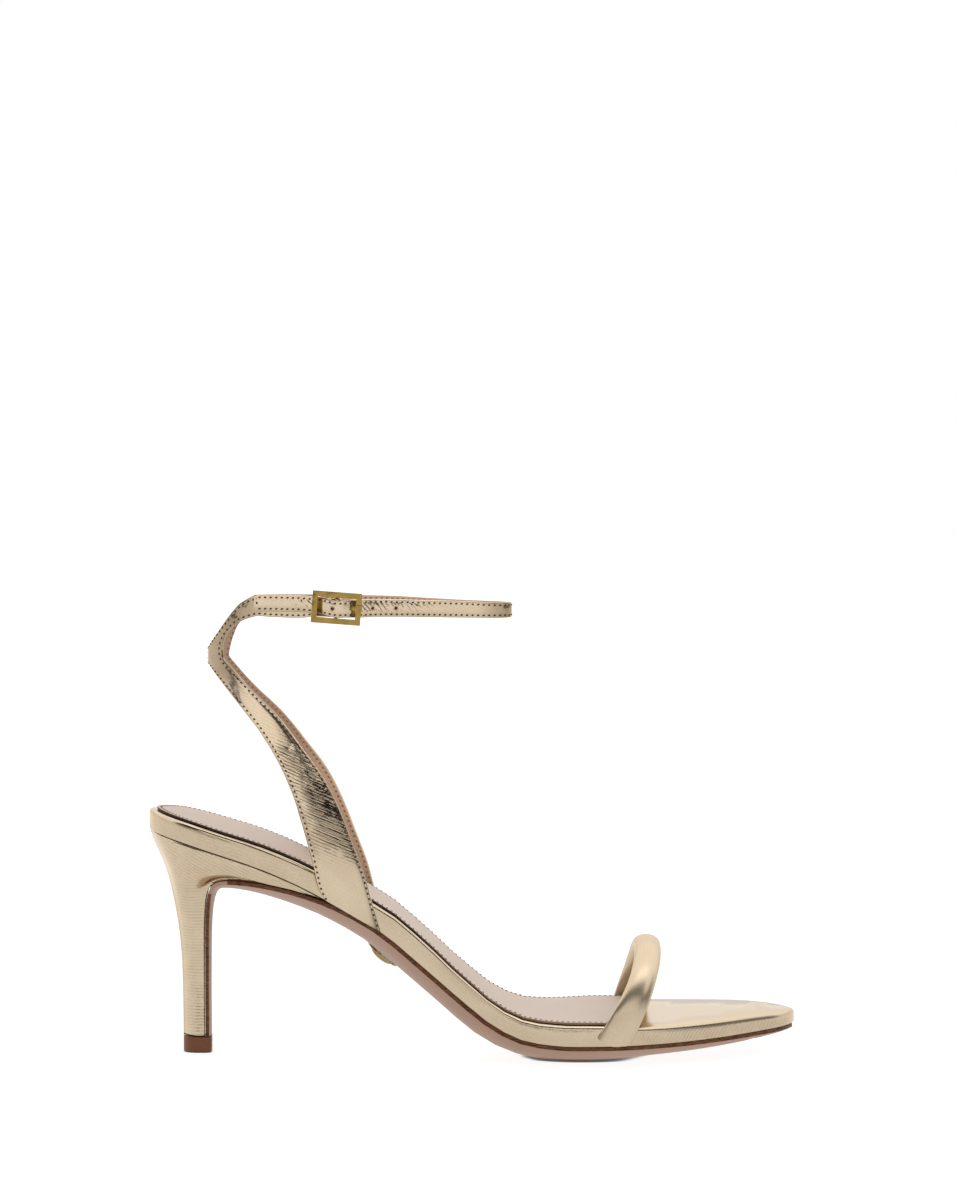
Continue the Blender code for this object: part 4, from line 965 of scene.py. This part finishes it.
def stitch_rows(name, lines, material):
    """Stitches along each line of points, each with the direction out of the leather."""
    shape, shape_faces = stitch_shape()
    points, faces = [], []
    for line, out in lines:
        run = lengths(line)
        count = int(run[-1] / STITCH_PITCH)
        for k in range(count):
            along = (k + 0.5) * run[-1] / count
            at = at_lengths(along, run, line)
            ahead = at_lengths(along + STITCH_REACH, run, line) - at_lengths(along - STITCH_REACH, run, line)
            ahead /= np.linalg.norm(ahead) + 1e-12
            up = at_lengths(along, run, out)
            up -= ahead * np.dot(up, ahead)
            up /= np.linalg.norm(up) + 1e-12
            aside = np.cross(up, ahead)
            x = ahead * math.cos(STITCH_SLANT) + aside * math.sin(STITCH_SLANT)
            y = aside * math.cos(STITCH_SLANT) - ahead * math.sin(STITCH_SLANT)
            base = len(points)
            points += [tuple(at + x * p[0] + y * p[1] + up * p[2]) for p in shape]
            faces += [tuple(base + corner for corner in face) for face in shape_faces]
    data = bpy.data.meshes.new(name)
    data.from_pydata(points, [], faces)
    data.transform(Matrix.Translation((HEEL_BACK, MIDDLE, 0.0)))
    made = bpy.data.objects.new(name, data)
    bpy.context.collection.objects.link(made)
    data.materials.append(material)
    alone(made)
    bpy.ops.object.mode_set(mode="EDIT")
    bpy.ops.mesh.select_all(action="SELECT")
    bpy.ops.mesh.normals_make_consistent(inside=False)
    bpy.ops.object.mode_set(mode="OBJECT")
    bpy.ops.object.shade_smooth()
    return made


stitch_line = int(np.argmin(np.abs(EDGE_LINES["inset"] * MM - STITCH_INSET)))


def strap_stitches(outer, grid, normal, thickness, rows):
    """The stitch lines of a strap over some of its rows, those outside and those on its lining."""
    outside, inside = [], []
    for j in (stitch_line, grid.shape[1] - 1 - stitch_line):
        outside.append((outer[rows, j], normal[rows, j]))
        depth = thickness[rows, None] - LINING_SINK
        inside.append((grid[rows, j] - normal[rows, j] * depth, -normal[rows, j]))
    return outside, inside


brown_thread = thread("brown thread", BROWN_THREAD, BROWN_DARK, BROWN_PALE)
tan_thread = thread("tan thread", TAN_THREAD, TAN_DARK, TAN_PALE)
near_lines, near_lining_lines = strap_stitches(
    near_outer, near_grid, near_normal, near_thickness, slice(1, quarter_count + CHAPE_STITCHED))
tail_row = len(far_grid) - 1 - int(np.searchsorted(far_outer[:0:-1, 0, 0], far_outer[-1, 0, 0] + TAIL_INSET))
far_lines, far_lining_lines = strap_stitches(
    far_outer, far_grid, far_normal, far_thickness, slice(1, tail_row + 1))
tail_columns = slice(stitch_line + 1, far_grid.shape[1] - 1 - stitch_line)
far_lines.append((far_outer[tail_row, tail_columns], far_normal[tail_row, tail_columns]))
on_shoe(stitch_rows("near_stitches", near_lines, brown_thread), "gold_leather")
on_shoe(stitch_rows("far_stitches", far_lines, brown_thread), "gold_leather")
on_shoe(stitch_rows("lining_stitches", near_lining_lines + far_lining_lines, tan_thread), "gold_leather")

# Stitching of the sock
# One row of tan thread just inside the cut edge of the sock lining, all the way round. It is sewn before the
# sock is glued down.
SOCK_INSET = 1.3 * MM
ABOVE = 200 * MM  # a height over the whole shoe

shape = bmesh.new()
shape.from_mesh(sock.data)
rim = []
for edge in shape.edges:
    if len(edge.link_faces) == 2:
        one, other = (face.normal.z > SOCK_FACE_RISE for face in edge.link_faces)
        if one != other:
            rim.append(edge)
chain = [rim[0].verts[0], rim[0].verts[1]]
left = set(rim[1:])
while left:
    onward = [edge for edge in chain[-1].link_edges if edge in left]
    if not onward:
        break
    left.discard(onward[0])
    chain.append(onward[0].other_vert(chain[-1]))
loop = np.array([tuple(vert.co) for vert in chain])
shape.free()
heading = np.roll(loop[:-1], -1, axis=0) - np.roll(loop[:-1], 1, axis=0)
heading = np.vstack([heading, heading[:1]])[:, :2]
heading /= np.linalg.norm(heading, axis=1)[:, None]
turned_in = 1 if np.sum(loop[:-1, 0] * loop[1:, 1] - loop[1:, 0] * loop[:-1, 1]) > 0 else -1
inset = loop[:, :2] + np.column_stack([-heading[:, 1], heading[:, 0]]) * turned_in * SOCK_INSET
line, out = [], []
for x, y in inset:
    hit, at, facing, _ = sock.ray_cast((x, y, ABOVE), (0, 0, -1))
    if hit:
        line.append((at.x - HEEL_BACK, at.y - MIDDLE, at.z))
        out.append(tuple(facing))
on_shoe(stitch_rows("sock_stitches", [(np.array(line), np.array(out))], tan_thread), "blush_lining")

# Buckle, prong and stud
# Cast brass, polished and lacquered a light gold. The frame hangs on the chape by its middle bar, the prong
# is hooked round the same bar, and the plain domed stud is pinned to the sole under the arch.
BRASS = (0.45, 0.310, 0.105)
BRASS_DARK = (0.20, 0.128, 0.030)
BRASS_PALE = (0.42, 0.285, 0.085)
BUCKLE_EDGE = 0.25 * MM

brass, shader, add = finish("polished brass", BRASS, 0.2, 1.0)
tarnish = noise(add, 260.0, 4.0, 0.6)
scratch = math_node(add, "MULTIPLY", noise(add, 2400.0), 0.02)
swell = math_node(add, "ADD", scratch, noise(add, 170.0, 1.0))
coat(add, shader, mix(add, tarnish, BRASS_DARK, BRASS_PALE), swell, 0.8, 1.0 * MM)
put(shader.inputs["Roughness"], math_node(add, "MULTIPLY_ADD", tarnish, 0.16, 0.13))
for node, name in (("buckle", "brass_buckle"), ("prong", "brass_prong"), ("arch_stud", "brass_stud")):
    made = from_solid(node, name)
    if node == "buckle":
        rounded(made, BUCKLE_EDGE, clamp=True)
    covered(made, brass)
    on_shoe(made, "brass", node)

# Floor, light and camera
# White paper that glows evenly, shaded only where the shoe all but touches it, under one large light in a
# bright room. The gold mirrors the room's darker stretches: a gap, a sill, a rafter and a curtain behind the
# camera, and one side.
PAPER = (0.93, 0.93, 0.93)
PAPER_DARK = (0.11, 0.11, 0.11)
PAPER_PALE = (0.13, 0.13, 0.13)
WHITE = (1.0, 1.0, 1.0)
FLOOR_SIZE = 6.0
TOUCH = 1.3 * MM
ROOM_LOW, ROOM_HIGH = 0.25, 0.45  # the room brightens between these heights of a direction
ROOM_DIM, ROOM_BRIGHT = 1.08, 1.45
IN_FRONT = ("Y", 0.0, -0.3)
# How bright each darker stretch of the room is, and its zone of directions
STRETCHES = (
    (0.01, (IN_FRONT, ("X", 0.08, 0.19), ("X", 0.95, 0.75), ("Z", 0.27, 0.38), ("Z", 0.66, 0.58))),
    (0.02, (IN_FRONT, ("X", -0.09, -0.15), ("Z", 0.08, 0.14), ("Z", 0.22, 0.16))),
    (0.04, (IN_FRONT, ("X", 0.50, 0.20), ("Z", 0.57, 0.63), ("Z", 0.985, 0.95))),
    (0.04, (IN_FRONT, ("X", -0.42, -0.50), ("Z", 0.22, 0.30), ("Z", 0.66, 0.60))),
    (0.28, (("Y", 0.4, 0.0), ("X", 0.60, 0.90), ("Z", 0.80, 0.60))),
)
LIGHT_PLACE = Vector((0.0, -0.1, 1.6))
LIGHT_AIM = Vector((0.0, 0.0, 0.08))
LIGHT_SIZE = (1.4, 1.0)
LIGHT_POWER = 3
EYE = Vector((-0.00015, -2.100, 0.308))
AIM = Vector((0.00186, 0.0, 0.16024))

paper, shader, add = finish("white paper", PAPER, 0.6)
put(shader.inputs["Emission Color"], WHITE)
coat(add, shader, mix(add, noise(add, 300.0), PAPER_DARK, PAPER_PALE))
touch = add("ShaderNodeAmbientOcclusion", Distance=TOUCH)
touch.samples = 8
put(shader.inputs["Emission Strength"], ramp(add, touch.outputs["AO"], ((0.25, 0.08), (0.80, 0.90))))
bpy.ops.object.select_all(action="DESELECT")
bpy.ops.mesh.primitive_plane_add(size=FLOOR_SIZE, location=(0, 0, 0))
floor = bpy.context.object
floor.name = "floor"
floor.data.materials.append(paper)

world = bpy.data.worlds.new("studio")
bpy.context.scene.world = world
world.use_nodes = True
add = adder(world.node_tree)


def between(add, value, low, high, dim, bright):
    """A node that runs from dim to bright while a value runs from low to high."""
    ends = {"From Min": low, "From Max": high, "To Min": dim, "To Max": bright}
    return add("ShaderNodeMapRange", Value=value, **ends).outputs["Result"]


directions = add("ShaderNodeTexCoord").outputs["Generated"]
axes = dict(zip("XYZ", add("ShaderNodeSeparateXYZ", Vector=directions).outputs))
room = between(add, axes["Z"], ROOM_LOW, ROOM_HIGH, ROOM_DIM, ROOM_BRIGHT)
for left, zone in STRETCHES:
    room = math_node(add, "MULTIPLY", room, between(add, masked(add, 1.0, zone, axes), 0.0, 1.0, 1.0, left))
seen = add("ShaderNodeLightPath").outputs["Is Camera Ray"]
background = world.node_tree.nodes["Background"]
put(background.inputs["Strength"], between(add, seen, 0.0, 1.0, room, 1.0))
put(background.inputs["Color"], WHITE)


def aimed(name, data, place, aim):
    """A light or a camera at its place, turned towards its aim."""
    made = bpy.data.objects.new(name, data)
    made.location = place
    made.rotation_euler = (aim - place).to_track_quat("-Z", "Y").to_euler()
    bpy.context.collection.objects.link(made)
    return made


lamp = bpy.data.lights.new("overhead", "AREA")
lamp.shape = "RECTANGLE"
lamp.size, lamp.size_y = LIGHT_SIZE
lamp.energy = LIGHT_POWER
aimed("overhead", lamp, LIGHT_PLACE, LIGHT_AIM)

camera = bpy.data.cameras.new("camera")
camera.sensor_fit = "VERTICAL"
camera.sensor_height = 36.0
camera.lens = 178.9
bpy.context.scene.camera = aimed("camera", camera, EYE, AIM)
bpy.context.scene.view_settings.view_transform = "Standard"
